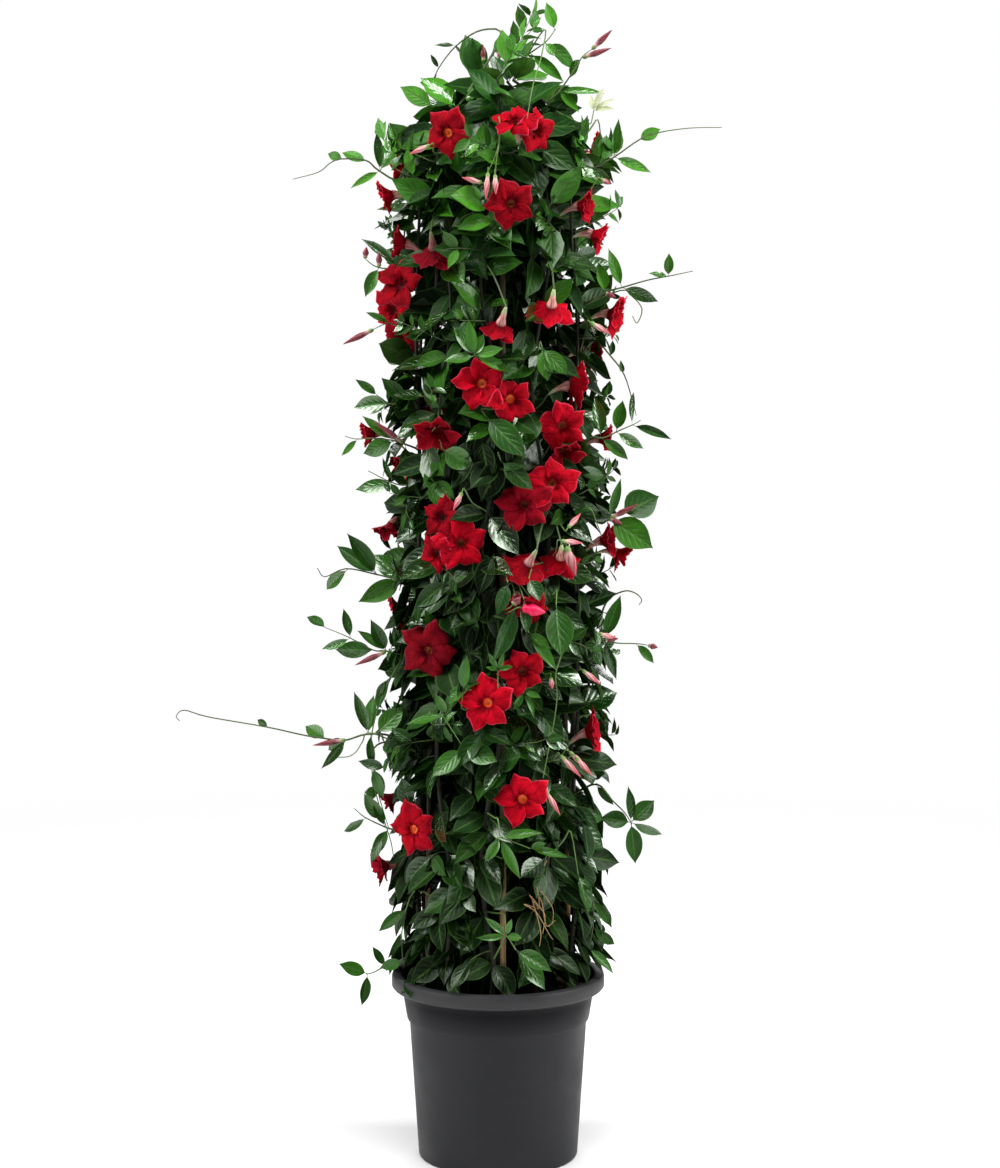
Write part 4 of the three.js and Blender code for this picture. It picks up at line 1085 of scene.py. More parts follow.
leafTemplates, smallTemplates = [
    [modelLeaf(name + str(i), leafShape[rows], leafShape[columns], *form)
     for i, form in enumerate(leafShape["forms"])]
    for name, rows, columns in (
        ("leafForm", "rows", "columns"), ("smallLeafForm", "smallRows", "smallColumns"))
]
print("leaf forms:", len(leafTemplates), "faces each", len(leafTemplates[0]["starts"]))


def pickForm(forms, draw):
    return forms[int(draw() * 3.999)]


def leafCopy(shape, leaf, tone):
    corners = shape["corners"]
    placed = (
        np.array(leaf["base"])
        + np.outer(corners[:, 1] * leaf["length"], leaf["along"])
        - np.outer(corners[:, 0] * leaf["width"], leaf["face"].cross(leaf["along"]))
        + np.outer(corners[:, 2] * leaf["length"], leaf["face"])
    ) * mm
    return shape, placed, tone


bloomShape = {
    # angle and outer radius of each ray of a petal, for a bloom of radius 36
    "rays": [(-15, 0.40), (-8, 0.60), (0, 0.77), (10, 0.88), (20, 0.94), (30, 0.95), (39, 0.99),
             (46, 1.08), (51, 1.20), (57, 1.08), (66, 0.93), (75, 0.76), (84, 0.56)],
    # share of the way out and depth of each ring
    "rings": [(0, -6.0), (0.09, -3.0), (0.22, -0.4), (0.38, 1.2), (0.56, 1.4), (0.73, 0.6), (0.87, -0.8),
              (1.0, -2.8)],
    "petals": 5, "radius": 36.0, "throat": 6.5, "overlap": 4.2, "crease": 0.7, "thickness": 0.5,
    "uvStart": 0.42, "ruffleSize": 9.0, "ruffleGap": 40,
    # how far single petals differ: size, swing forward or back, and roll about their own middle
    "sizes": (0.86, 1.08), "swing": 5.0, "roll": 5.5,
    # place in the ruffles, how far the petals come forward at their ends, strength of the ruffles
    "forms": [(0, 1.0, 7.0), (4, -4.0, 8.0), (8, 4.5, 6.0), (12, 0.0, 10.0), (16, 11.0, 4.5)],
    "hangingForm": 4,
}


def modelBloom(name, seed, cup, ruffling):
    rays, rings, throat = bloomShape["rays"], bloomShape["rings"], bloomShape["throat"]
    petal = newPrimitive(
        name, bpy.ops.mesh.primitive_grid_add,
        x_subdivisions=len(rays) - 1, y_subdivisions=len(rings) - 1, size=1)
    grid = [(round((vertex.co.x + 0.5) * (len(rays) - 1)), round((vertex.co.y + 0.5) * (len(rings) - 1)))
            for vertex in petal.data.vertices]
    for vertex, (column, row) in zip(petal.data.vertices, grid):
        (angle, outer), (share, depth) = rays[column], rings[row]
        radius = throat + share * (outer * bloomShape["radius"] - throat)
        turn = math.radians(angle)
        over = bloomShape["overlap"] * share * (column / (len(rays) - 1) - 0.4)
        over += bloomShape["crease"] * share * math.cos(math.pi * column) + cup * share * share
        vertex.co = (radius * math.cos(turn), radius * math.sin(turn), depth + over)
    for loop in petal.data.uv_layers[0].data:
        loop.uv.y = mix(bloomShape["uvStart"], 1, loop.uv.y)
    makeActive(petal)
    startEdit()
    bpy.ops.mesh.spin(steps=bloomShape["petals"] - 1, dupli=True, center=(0, 0, 0), axis=(0, 0, 1),
                      angle=math.radians(360 - 360 / bloomShape["petals"]))
    bpy.ops.mesh.select_all(action="SELECT")
    bpy.ops.mesh.normals_make_consistent(inside=False)
    endEdit()
    if petal.data.polygons[0].normal.z < 0:
        petal.data.flip_normals()
    draw = drawsFrom(seed + 31)
    for number in range(bloomShape["petals"]):
        size = mix(*bloomShape["sizes"], draw())
        swing, roll = (draw() - 0.5) * 2 * bloomShape["swing"], (draw() - 0.5) * 2 * bloomShape["roll"]
        for i, (column, row) in enumerate(grid):
            vertex = petal.data.vertices[number * len(grid) + i]
            share = rings[row][0]
            vertex.co.x *= mix(1, size, share)
            vertex.co.y *= mix(1, size, share)
            vertex.co.z += swing * share * share + roll * share * (column / (len(rays) - 1) - 0.5)
    outer = petal.vertex_groups.new(name="outer")
    for vertex in petal.data.vertices:
        share = (math.hypot(vertex.co.x, vertex.co.y) - throat) / (bloomShape["radius"] - throat)
        outer.add([vertex.index], clamp01(share) ** 1.5, "REPLACE")
        vertex.co.x += seed * bloomShape["ruffleGap"]
    addModifier(petal, "ruffle", "DISPLACE", texture=newClouds(name + "Ruffle", bloomShape["ruffleSize"]),
                direction="Z", strength=ruffling * 2, vertex_group="outer")
    addModifier(petal, "skin", "SOLIDIFY", thickness=bloomShape["thickness"], offset=-1, material_offset=1)
    applyAll(petal)
    for vertex in petal.data.vertices:
        vertex.co.x -= seed * bloomShape["ruffleGap"]
    return readShape(petal)


bloomTemplates = [modelBloom("bloomForm%d" % i, *form) for i, form in enumerate(bloomShape["forms"])]
print("bloom forms:", len(bloomTemplates), "faces each", len(bloomTemplates[0]["starts"]))

tubeForm = {
    # the throat from its bottom to its lip, then down the outside of the tube to its closed end
    "profile": [
        (1.0, -12.0), (2.4, -11.2), (3.8, -9.2), (5.2, -7.2), (6.3, -5.6), (7.0, -5.0), (8.2, -6.0),
        (7.4, -8.6), (6.0, -12), (4.9, -16), (4.2, -21), (3.5, -27), (2.6, -32), (1.8, -36),
    ],
    "sides": 14, "eyeReach": 4.9, "throatReach": 6.7, "throatDepth": -12.1, "lipDepth": -6.2,
}
tube = turnedShape("tubeForm", tubeForm["profile"], tubeForm["sides"])
tube.data.materials.append(None)
for face in tube.data.polygons:
    reach, depth = math.hypot(*face.center.xy), face.center.z
    isThroat = tubeForm["throatDepth"] < depth and reach < tubeForm["throatReach"] and (
        face.normal.z > 0.2 or depth > tubeForm["lipDepth"])
    face.material_index = (2 if reach < tubeForm["eyeReach"] else 0) if isThroat else 1
tubeLength = bloomPlan["tube"]
setUv(tube, lambda co: (turnShare(co), clamp01((co.z + tubeLength) / (2 * tubeLength))))
tubeShape = readShape(tube)

budForm = {
    "profile": [
        (0.10, 0.0), (0.24, 0.02), (0.62, 0.06), (0.74, 0.12), (0.62, 0.19), (0.74, 0.28), (1.0, 0.42),
        (0.95, 0.55), (0.72, 0.70), (0.45, 0.83), (0.22, 0.94), (0.05, 1.0),
    ],
    "sides": 10, "ridges": 5, "ridgeHeight": 0.12, "ridgeFrom": 0.2, "twist": 110,
    "radius": 4.6, "looseRadius": 4.2,
}
bud = turnedShape("budForm", budForm["profile"], budForm["sides"])
for vertex in bud.data.vertices:
    wave = math.cos(math.atan2(vertex.co.y, vertex.co.x) * budForm["ridges"])
    ridge = 1 + budForm["ridgeHeight"] * wave * clamp01((vertex.co.z - budForm["ridgeFrom"]) * 4)
    vertex.co.x *= ridge
    vertex.co.y *= ridge
setUv(bud, lambda co: (turnShare(co), co.z))
addModifier(bud, "twist", "SIMPLE_DEFORM", deform_method="TWIST", deform_axis="Z",
            angle=math.radians(budForm["twist"]))
applyAll(bud)
budShape = readShape(bud)


def budCopy(base, tip, radius, ripe):
    line = tip - base
    along = line.normalized()
    side = squareTo(along, Vector((0.3, -1, 0.2)))
    corners = budShape["corners"]
    placed = (
        np.array(base) + np.outer(corners[:, 0] * radius, side)
        + np.outer(corners[:, 1] * radius, along.cross(side)) + np.outer(corners[:, 2] * line.length, along)
    ) * mm
    return budShape, placed, (1, ripe, 1, 1)


# pot, soil and canes

potForm = {
    "sides": 96,
    "profile": [
        (114, 0), (118.4, 1.1), (120, 4), (133.3, 209), (134.6, 210.6), (136.8, 211),
        (138.2, 218), (142.5, 245), (145.0, 252), (150.5, 257.2), (157.6, 258.6), (160, 261.5),
        (160, 275), (158.6, 278.6), (155, 280), (148, 280), (145.9, 278.4), (144, 262),
        (139.5, 245), (130.3, 208), (117.3, 6), (115, 3.5),
    ],
    "drains": {"count": 4, "first": 45, "circle": 80, "radius": 6, "depth": 12, "sides": 24},
    "edge": 0.7, "edgeAngle": 50, "smoothBelow": 40,
}
pot = turnedShape("nurseryPot", [(r * mm, z * mm) for r, z in potForm["profile"]], potForm["sides"])
drains = potForm["drains"]
for i in range(drains["count"]):
    drain = newPrimitive(
        "drainCutter", bpy.ops.mesh.primitive_cylinder_add, vertices=drains["sides"],
        radius=drains["radius"] * mm, depth=drains["depth"] * mm,
        location=around(drains["first"] + 360 / drains["count"] * i, drains["circle"], 2) * mm)
    addModifier(pot, "drain", "BOOLEAN", object=drain, operation="DIFFERENCE")
    applyAll(pot)
    bpy.data.objects.remove(drain)
addModifier(pot, "edge", "BEVEL", width=potForm["edge"] * mm, segments=2, limit_method="ANGLE",
            angle_limit=math.radians(potForm["edgeAngle"]))
applyAll(pot)
smoothBelow(pot, potForm["smoothBelow"])
setMaterial(pot, potMaterial)
finishPiece(pot, "pot", "pot")
print("pot made")

soilForm = {
    "sides": 64,
    "profile": [
        (100, 4.2), (114.2, 4.2), (129.6, 208.2), (138.8, 245.2), (139.4, 248.2), (130, 250.4),
        (112, 251), (92, 251.4), (72, 251.8), (50, 252), (30, 252.4), (12, 252.6),
    ],
    "lumps": 10.0, "lumpSize": 0.016, "lumpsAbove": 0.2495, "lumpsWithin": 0.136, "smoothBelow": 50,
}
soil = turnedShape("pottingSoil", [(r * mm, z * mm) for r, z in soilForm["profile"]], soilForm["sides"])
soilTopGroup = soil.vertex_groups.new(name="top")
for vertex in soil.data.vertices:
    if vertex.co.z > soilForm["lumpsAbove"] and math.hypot(*vertex.co.xy) < soilForm["lumpsWithin"]:
        soilTopGroup.add([vertex.index], 1, "REPLACE")
addModifier(soil, "lumps", "DISPLACE", texture=newClouds("soilLumps", soilForm["lumpSize"]),
            direction="Z", vertex_group="top", strength=soilForm["lumps"] * mm)
applyAll(soil)
smoothBelow(soil, soilForm["smoothBelow"])
setMaterial(soil, soilMaterial)
finishPiece(soil, "soil", "soil")

chipForm = {
    "count": 260, "size": (6, 14), "circle": 134, "height": 252.4, "heap": 2.5, "lean": 0.7,
    "rounding": 0.62, "flatness": (1, 0.6, 0.4),
}
chip = newPrimitive("chipForm", bpy.ops.mesh.primitive_cube_add, size=1)
startEdit()
bpy.ops.mesh.subdivide(number_cuts=1)
endEdit()
draw = drawsFrom(11)
for vertex in chip.data.vertices:
    rounding = chipForm["rounding"] / max(0.5, vertex.co.length)
    vertex.co = Vector([
        part * rounding * flat * (0.8 + 0.5 * draw()) for part, flat in zip(vertex.co, chipForm["flatness"])])
chipShape = readShape(chip)
chips = []
for i in range(chipForm["count"]):
    draw = drawsFrom(700 + i)
    place = around(
        360 * draw(), chipForm["circle"] * math.sqrt(draw()), chipForm["height"] + chipForm["heap"] * draw())
    size = mix(*chipForm["size"], draw())
    turn = Matrix.Rotation(2 * math.pi * draw(), 3, "Z") @ Matrix.Rotation(
        chipForm["lean"] * (draw() - 0.5), 3, "X")
    placed = (chipShape["corners"] @ np.array(turn).T * size + np.array(place)) * mm
    chips.append((chipShape, placed, (draw(), draw(), draw(), 1)))
finishPiece(buildPiece("soilChips", chips, [chipMaterial]), "soil", "soil")
print("soil made")

caneForm = {
    "count": 4, "turn": 4, "foot": 60, "top": 1520, "footCircle": 110, "topCircle": 86, "sides": 16,
    "radius": 4.6, "knot": 5.3, "firstKnot": 60, "knotShift": 31, "knotGaps": (205, 262, 228, 247, 214, 236),
    "lastKnot": 20, "knotBand": (-0.1, 1.8), "smoothBelow": 60,
}


def canePlace(index, end, circle):
    angle = caneForm["turn"] + 360 / caneForm["count"] * index
    return around(angle, caneForm[circle], caneForm[end])


for index in range(caneForm["count"]):
    foot, top = canePlace(index, "foot", "footCircle"), canePlace(index, "top", "topCircle")
    length, radius = (top - foot).length, caneForm["radius"]
    profile, knots = [(radius - 0.8, 0), (radius, 0.8)], []
    height = caneForm["firstKnot"] + caneForm["knotShift"] * index
    while height <= length - caneForm["lastKnot"]:
        profile += [(radius, height - 5), (radius + 0.25, height - 2), (caneForm["knot"], height),
                    (radius - 0.1, height + 1.6), (radius, height + 5)]
        gap = (len(knots) + index) % len(caneForm["knotGaps"])
        knots.append(height)
        height += caneForm["knotGaps"][gap]
    profile += [(radius, length - 0.8), (radius - 0.8, length), (2.0, length), (1.8, length - 3)]
    cane = turnedShape("bambooCane%d" % (index + 1), profile, caneForm["sides"])
    below, above = caneForm["knotBand"]
    setUv(cane, lambda co: (
        1.0 if any(below < co.z - knot < above for knot in knots) else 0.0, co.z / length))
    lean = zAxis.rotation_difference((top - foot).normalized()).to_matrix().to_4x4()
    cane.data.transform(Matrix.Scale(mm, 4) @ Matrix.Translation(foot) @ lean)
    smoothBelow(cane, caneForm["smoothBelow"])
    setMaterial(cane, caneMaterial)
    finishPiece(cane, "cane", "cane_%d" % (index + 1))
print("canes made")


# stems, stalks, leaves and buds, one piece of each for every vine

stemForm = {
    "foot": 4.2, "head": 1.9, "shootFoot": 1.9, "shootHead": 0.55, "stalkFoot": 1.5, "stalk": 1.25,
    "stalkBow": -4, "hangingBow": 9, "twig": (1.3, 0.8), "spray": (1.1, 0.45),
}
# where added leaves may be
clearPlan = {
    "lowest": 262, "innerLowest": 275, "widest": 170,
    # the points of a leaf that are tried: share of its length, and of half its width
    "points": ((0.35, 0.8), (0.35, -0.8), (0.65, 0.7), (0.65, -0.7), (1, 0)),
    # a bloom and its tube stay in view from in front
    "bloomHeight": 80, "bloomBack": -14, "bloomFront": 70, "bloomShare": 0.95, "bloomRoom": 2,
    "seenShare": 0.9, "tubeFront": -60, "tubeLength": 15, "tubeBehind": 12, "tubeRoom": 10,
    # the foot of the front cane stays bare
    "caneFront": -60, "caneSides": (-16, 26), "caneTop": 395,
    # the deep dark gap at the front, where the leaves get painted shade, by direction and height
    "gapTurn": (252, 286), "gapHeight": (770, 1090), "gapHeart": (835, 985),
}
extraPlan = {
    "twigReach": (18, 46), "twigHang": 6, "twigMargin": 16, "twigTop": 1500, "nodesPerJoint": 2,
    "leafLength": (46, 82), "leafWidth": (0.36, 0.5),
    "coreCount": 520, "coreCircle": (0, 70), "coreHeight": (300, 1590), "coreLength": (85, 125),
    "innerLength": (62, 92), "innerPerJoint": 12, "innerSwing": 36, "deepCircle": (20, 96),
    "nearCircle": (100, 128), "airyFrom": 80, "airyShare": 0.6,
    "sprayReach": (48, 110), "sprayLeaf": (24, 44), "sprayWidth": (0.36, 0.52), "sprayWidest": 186,
    "sprayMargin": 12, "sprayLowest": 560, "sprayStart": 14, "sprayFewest": 4, "topFrom": 1530,
    "topWidest": 62,
    "gapCount": 90, "gapTurn": (253, 287), "gapCircle": (124, 142), "gapHeight": (790, 1110),
    "gapLength": (54, 78), "gapWidth": (0.46, 0.58),
}
# painted light and shade on the leaves by their height: bright at the top and mostly darker lower down
paintedLeafLight = [(250, 0.20), (450, 0.30), (650, 0.64), (850, 0.42), (1150, 0.55), (1350, 0.82), (1480, 1.5),
             (1700, 1.85)]


def paintedLightAt(height):
    for (low, first), (high, second) in zip(paintedLeafLight, paintedLeafLight[1:]):
        if height < high:
            return mix(first, second, clamp01((height - low) / (high - low)))
    return paintedLeafLight[-1][1]


def hidesBloom(point):
    plan = clearPlan
    for bloom in allBlooms:
        offset, middle, half = point - bloom["middle"], bloom["middle"], bloom["half"]
        if abs(offset.z) > plan["bloomHeight"]:
            continue
        depth = offset.dot(bloom["out"])
        aside = (offset - bloom["out"] * depth).length
        if plan["bloomBack"] < depth < plan["bloomFront"] and (
                aside < half * plan["bloomShare"] + plan["bloomRoom"]):
            return True
        if offset.y < 0 and middle.y < 0 and math.hypot(offset.x, offset.z) < half * plan["seenShare"]:
            return True
        tube = bloom["tubeEnd"] - middle
        length = math.hypot(tube.x, tube.z)
        if middle.y < plan["tubeFront"] and length > plan["tubeLength"] and offset.y < plan["tubeBehind"]:
            share = clamp01((offset.x * tube.x + offset.z * tube.z) / (tube.x ** 2 + tube.z ** 2))
            if math.hypot(offset.x - tube.x * share, offset.z - tube.z * share) < plan["tubeRoom"]:
                return True
    return False


def hidesCaneFoot(point):
    left, right = clearPlan["caneSides"]
    return point.y < clearPlan["caneFront"] and left < point.x < right and point.z < clearPlan["caneTop"]


def isOpen(leaf):
    for share, across in clearPlan["points"]:
        point = leafPoint(leaf, share, across)
        if hidesBloom(point) or hidesCaneFoot(point) or point.z < clearPlan["lowest"]:
            return False
        if math.hypot(point.x, point.y) > clearPlan["widest"]:
            return False
    return True


def isBetween(value, limits):
    return limits[0] < value < limits[1]


def inDarkGap(place):
    azimuth = math.degrees(math.atan2(place.y, place.x)) % 360
    return isBetween(azimuth, clearPlan["gapTurn"]) and isBetween(place.z, clearPlan["gapHeight"])


def extraTwigs(vine):
    # short side twigs between the joints, with a pair of leaves at the tip and one lower down
    runs, leaves = [], []
    for joint in range(vineJoints(vine)):
        for half in range(extraPlan["nodesPerJoint"]):
            draw = drawsFrom(200000 + 1000 * vine + 10 * joint + 5 * half)
            at = joint + (half + 0.5 * draw()) / extraPlan["nodesPerJoint"]
            base = vinePlace(vine, at)
            if base.z < clearPlan["lowest"]:
                continue
            outward, sideways, along = leafAim(draw, base, at, 1 if draw() > 0.5 else -1, 0.5, 1.2)
            reach = mix(*extraPlan["twigReach"], draw())
            knee = base + along * reach * 0.5
            tip = base + along * reach - zAxis * extraPlan["twigHang"]
            if math.hypot(tip.x, tip.y) > clearPlan["widest"] - extraPlan["twigMargin"]:
                continue
            if inDarkGap(base) or base.z > extraPlan["twigTop"]:
                continue
            found = []
            for start, hand in ((tip, -1), (tip, 1), (knee, -1), (base, 1)):
                lift, narrow = 0.3 * (draw() - 0.5), 0.7 + 0.9 * draw()
                outward, sideways, aim = leafAim(draw, start, at, hand, lift, narrow)
                length = mix(*extraPlan["leafLength"], draw())
                wish = outward * 0.8 + zAxis * 0.5 + sideways * (draw() - 0.5) * 1.4
                width = length * mix(*extraPlan["leafWidth"], draw())
                found.append(newLeaf(start, aim, wish, length, width))
            found = [leaf for leaf in found if isOpen(leaf)]
            if found:
                leaves += found
                runs.append(smoothRun([base, knee, tip], *stemForm["twig"], 2))
    return runs, leaves


def innerLeaves(vine):
    # the old leaves inside the column, painted darker as painted shade
    leaves = []
    for joint in range(1, vineJoints(vine)):
        for number in range(extraPlan["innerPerJoint"]):
            draw = drawsFrom(400000 + 1000 * vine + 10 * joint + number)
            start = vinePlace(vine, joint + number / extraPlan["innerPerJoint"])
            level = levelOut(start)
            isNear = number % 2 == 0
            circle = mix(*extraPlan["nearCircle" if isNear else "deepCircle"], draw())
            swing = extraPlan["innerSwing"] * (draw() - 0.5)
            place = around(math.degrees(math.atan2(start.y, start.x)) + swing, 1, 0)
            if start.z > vinePlan["domeStart"]:
                base = start * 0.9 + Vector((0, 0, start.z * 0.1 - 18))
            else:
                base = place * circle + zAxis * start.z
            isAiry = abs(base.x) > extraPlan["airyFrom"]
            if base.z < clearPlan["innerLowest"] or (isAiry and draw() < extraPlan["airyShare"]):
                continue
            sideways = zAxis.cross(level)
            along = (sideways * (1.6 * (draw() - 0.5)) + level * (0.2 + 0.4 * draw())
                     - zAxis * (0.9 * draw() - 0.1)).normalized()
            length = mix(*extraPlan["innerLength"], draw())
            wish = level + zAxis * 0.4 + sideways * (draw() - 0.5)
            width = length * (0.40 + 0.14 * draw())
            leaves.append(newLeaf(base, along, wish, length, width, inner=not isNear, near=isNear))
    return [leaf for leaf in leaves if isOpen(leaf)]


def coreLeaves():
    # the leaves round the middle of the column, painted darkest as painted shade
    leaves = []
    for number in range(extraPlan["coreCount"]):
        draw = drawsFrom(450000 + number)
        height = mix(*extraPlan["coreHeight"], number / extraPlan["coreCount"])
        base = around(360 * draw(), mix(*extraPlan["coreCircle"], draw()), height)
        level = around(360 * draw(), 1, 0)
        along = (zAxis.cross(level) * (draw() - 0.5) * 1.2 - zAxis * (0.6 + draw())).normalized()
        length = mix(*extraPlan["coreLength"], draw())
        leaves.append(newLeaf(base, along, level, length, length * 0.6, inner=True))
    return leaves


def gapLeaves():
    # smooth leaves painted almost black, as painted shade, that hang before the stems in the deep gap at the
    # front
    leaves = []
    for number in range(extraPlan["gapCount"]):
        draw = drawsFrom(470000 + number)
        base = around(*[mix(*extraPlan[part], draw()) for part in ("gapTurn", "gapCircle", "gapHeight")])
        level = levelOut(base)
        sideways = zAxis.cross(level)
        along = (sideways * (draw() - 0.5) * 1.3 + level * 0.15 - zAxis * (0.7 + 0.5 * draw())).normalized()
        length = mix(*extraPlan["gapLength"], draw())
        width = length * mix(*extraPlan["gapWidth"], draw())
        wish = level + zAxis * 0.2 + sideways * (draw() - 0.5)
        leaves.append(newLeaf(base, along, wish, length, width, gap=True))
    return [leaf for leaf in leaves if isOpen(leaf)]


def outerSprays(vine):
    # thin green side stems over the outside, with pairs of small young leaves
    runs, leaves = [], []
    widest = extraPlan["sprayWidest"] - extraPlan["sprayMargin"]
    for joint in range(1, vineJoints(vine) + 1):
        draw = drawsFrom(300000 + 1000 * vine + 10 * joint)
        at = joint + draw() - 0.5
        base = vinePlace(vine, min(at, vineJoints(vine)))
        if base.z < extraPlan["sprayLowest"] or inDarkGap(base):
            continue
        outward, sideways, along = leafAim(draw, base, at, 1 if draw() > 0.5 else -1, 0.5, 1.3)
        reach = mix(*extraPlan["sprayReach"], draw() ** 1.5)
        bow = sideways * (draw() - 0.5) * 0.8 + zAxis * (draw() - 0.6)
        start = base + outward * extraPlan["sprayStart"]
        places = [base, start]
        for share in (0.25, 0.5, 0.75, 1):
            point = start + along * reach * share + bow * reach * 0.5 * share * share
            level = math.hypot(point.x, point.y)
            if level > widest:
                point = Vector((point.x, point.y, 0)) * widest / level + zAxis * point.z
            places.append(point)
        if any(point.z > extraPlan["topFrom"] and abs(point.x) > extraPlan["topWidest"] for point in places):
            continue
        found = []
        for number in range(2, 6):
            start = places[number]
            ahead = (places[number] - places[number - 1]).normalized()
            for hand in (-1, 1) if number < 5 else (-1, 1, 0):
                side = ahead.cross(outward).normalized() * hand * (0.6 + 0.8 * draw())
                aim = (ahead * (0.5 + 0.5 * draw()) + side + outward * 0.3 * draw()
                       + zAxis * 0.5 * (draw() - 0.5)).normalized()
                length = mix(*extraPlan["sprayLeaf"], draw()) * (1.15 - 0.1 * number)
                if start.z > vinePlan["domeStart"]:
                    length *= 1.3
                wish = outward * 0.9 + zAxis * 0.5 + sideways * (draw() - 0.5) * 1.6
                width = length * mix(*extraPlan["sprayWidth"], draw())
                tip = start + aim * length
                if math.hypot(tip.x, tip.y) < extraPlan["sprayWidest"] and not (
                        hidesBloom(tip) or hidesBloom(start)):
                    found.append(newLeaf(start, aim, wish, length, width, small=True))
        if len(found) >= extraPlan["sprayFewest"]:
            leaves += found
            runs.append(smoothRun(places, *stemForm["spray"], 2))
    return runs, leaves


tonePlan = {
    "light": (0.7, 1.4), "youth": (-0.6, 0.5), "climbYouth": 0.45,
    "shootYouth": 0.22, "shootLeast": 0.7, "shootLight": 1.15, "shootMost": 1.3,
    "smallYouth": 0.12, "smallMost": 1.35, "smallLight": 0.1,
    # the gap, near and inner factors are painted shade
    "gapHeartShade": 0.24, "gapShade": 0.42, "gapLeafShade": 0.10, "gapLeafGloss": 0.05,
    "nearShade": 0.8, "nearYouth": 0.5, "innerShade": 0.5, "innerGloss": 0.4,
    # low leaves are dull, and from 700 mm up some are shiny
    "lowGloss": 0.3, "glossFrom": 350, "glossTo": 700, "shinyShare": 0.38, "shiny": (0.85, 1.3),
    "dull": (0.05, 0.3),
}


def leafTone(leaf, draw):
    # brightness, which carries painted light and shade, youth and gloss
    plan, height = tonePlan, leaf["base"].z
    isInner, isNear, isGap = leaf.get("inner"), leaf.get("near"), leaf.get("gap")
    bright = paintedLightAt(height) * mix(*plan["light"], draw())
    young = clamp01(mix(*plan["youth"], draw()) + plan["climbYouth"] * clamp01(climbOf(height)) ** 2)
    if leaf.get("onShoot"):
        young = clamp01(young + plan["shootYouth"])
        bright = min(max(bright, plan["shootLeast"]) * plan["shootLight"], plan["shootMost"])
    if leaf.get("small"):
        young = clamp01(young + plan["smallYouth"])
        bright = min(bright, plan["smallMost"]) + plan["smallLight"]
    # painted shade on the leaves in the deep gap, darkest at its heart
    if inDarkGap(leaf["base"]) and not isInner:
        bright *= plan["gapHeartShade" if isBetween(height, clearPlan["gapHeart"]) else "gapShade"]
    # painted shade on the near leaves inside the column
    if isNear:
        bright, young = bright * plan["nearShade"], young * plan["nearYouth"]
    # gap leaves: painted almost black as painted shade
    if isGap:
        bright, young = plan["gapLeafShade"], 0.0
    # painted shade on the inner leaves
    if isInner:
        bright, young = bright * plan["innerShade"], 0.0
    gloss = mix(plan["lowGloss"], 1, clamp01(
        (height - plan["glossFrom"]) / (plan["glossTo"] - plan["glossFrom"])))
    gloss *= mix(*plan["shiny" if draw() < plan["shinyShare"] else "dull"], draw())
    if isInner or isNear:
        gloss *= plan["innerGloss"]
    return bright, young, plan["gapLeafGloss"] if isGap else gloss, 1


leafCount = 0
loose = coreLeaves() + gapLeaves()
for vine in allVines:
    node = "vine_%d" % (vine + 1)
    twigRuns, twigLeaves = extraTwigs(vine)
    sprayRuns, sprayLeaves = outerSprays(vine)
    leaves = [*mainLeaves[vine], *twigLeaves, *sprayLeaves, *innerLeaves(vine),
              *loose[vine::vinePlan["count"]]]
    copies = []
    for i, leaf in enumerate(leaves):
        draw = drawsFrom(500000 + 3000 * vine + i)
        isPlain = leaf.get("small") or leaf.get("inner") or leaf.get("near")
        shape = pickForm(smallTemplates if isPlain else leafTemplates, draw)
        copies.append(leafCopy(shape, leaf, leafTone(leaf, draw)))
    leafCount += len(leaves)
    leafPiece = buildPiece("vineLeaves%d" % (vine + 1), copies, [leafTop, leafUnder])
    finishPiece(leafPiece, "foliage", node)

    joints = [vinePlace(vine, joint) for joint in range(vineJoints(vine) + 1)]
    woody = [smoothRun(joints, stemForm["foot"], stemForm["head"])]
    finishPiece(tubePiece("vineStem%d" % (vine + 1), woody, shadedWoodyStem, 2), "foliage", node)

    green, buds = twigRuns + sprayRuns, []
    for shoot in shoots:
        if shoot["vine"] != vine:
            continue
        green.append(smoothRun(shootRoute(shoot), stemForm["shootFoot"], stemForm["shootHead"]))
        for joint, x, z in shoot.get("buds", []):
            base = shootFoot(shoot, joint)
            buds.append(budCopy(base, Vector((x, base.y - 4, z)), budForm["radius"], 0.85))
    for plan in allBlooms:
        stalkVine, start, end = stalkPlan(plan)
        if stalkVine == vine:
            bow = stemForm["hangingBow" if plan["hangs"] else "stalkBow"]
            middle = (start + end) * 0.5 + zAxis * bow
            green.append(smoothRun([start, middle, end], stemForm["stalkFoot"], stemForm["stalk"], 3))
    finishPiece(tubePiece("vineTwigs%d" % (vine + 1), green, shootStem), "foliage", node)
    if buds:
        budPiece = buildPiece("vineBuds%d" % (vine + 1), buds, [budMaterial])
        finishPiece(budPiece, "petal", node)
print("vines made, leaves:", leafCount)


# sprigs of young leaves, buds and long green stems that lie on the outside of the column, in mm

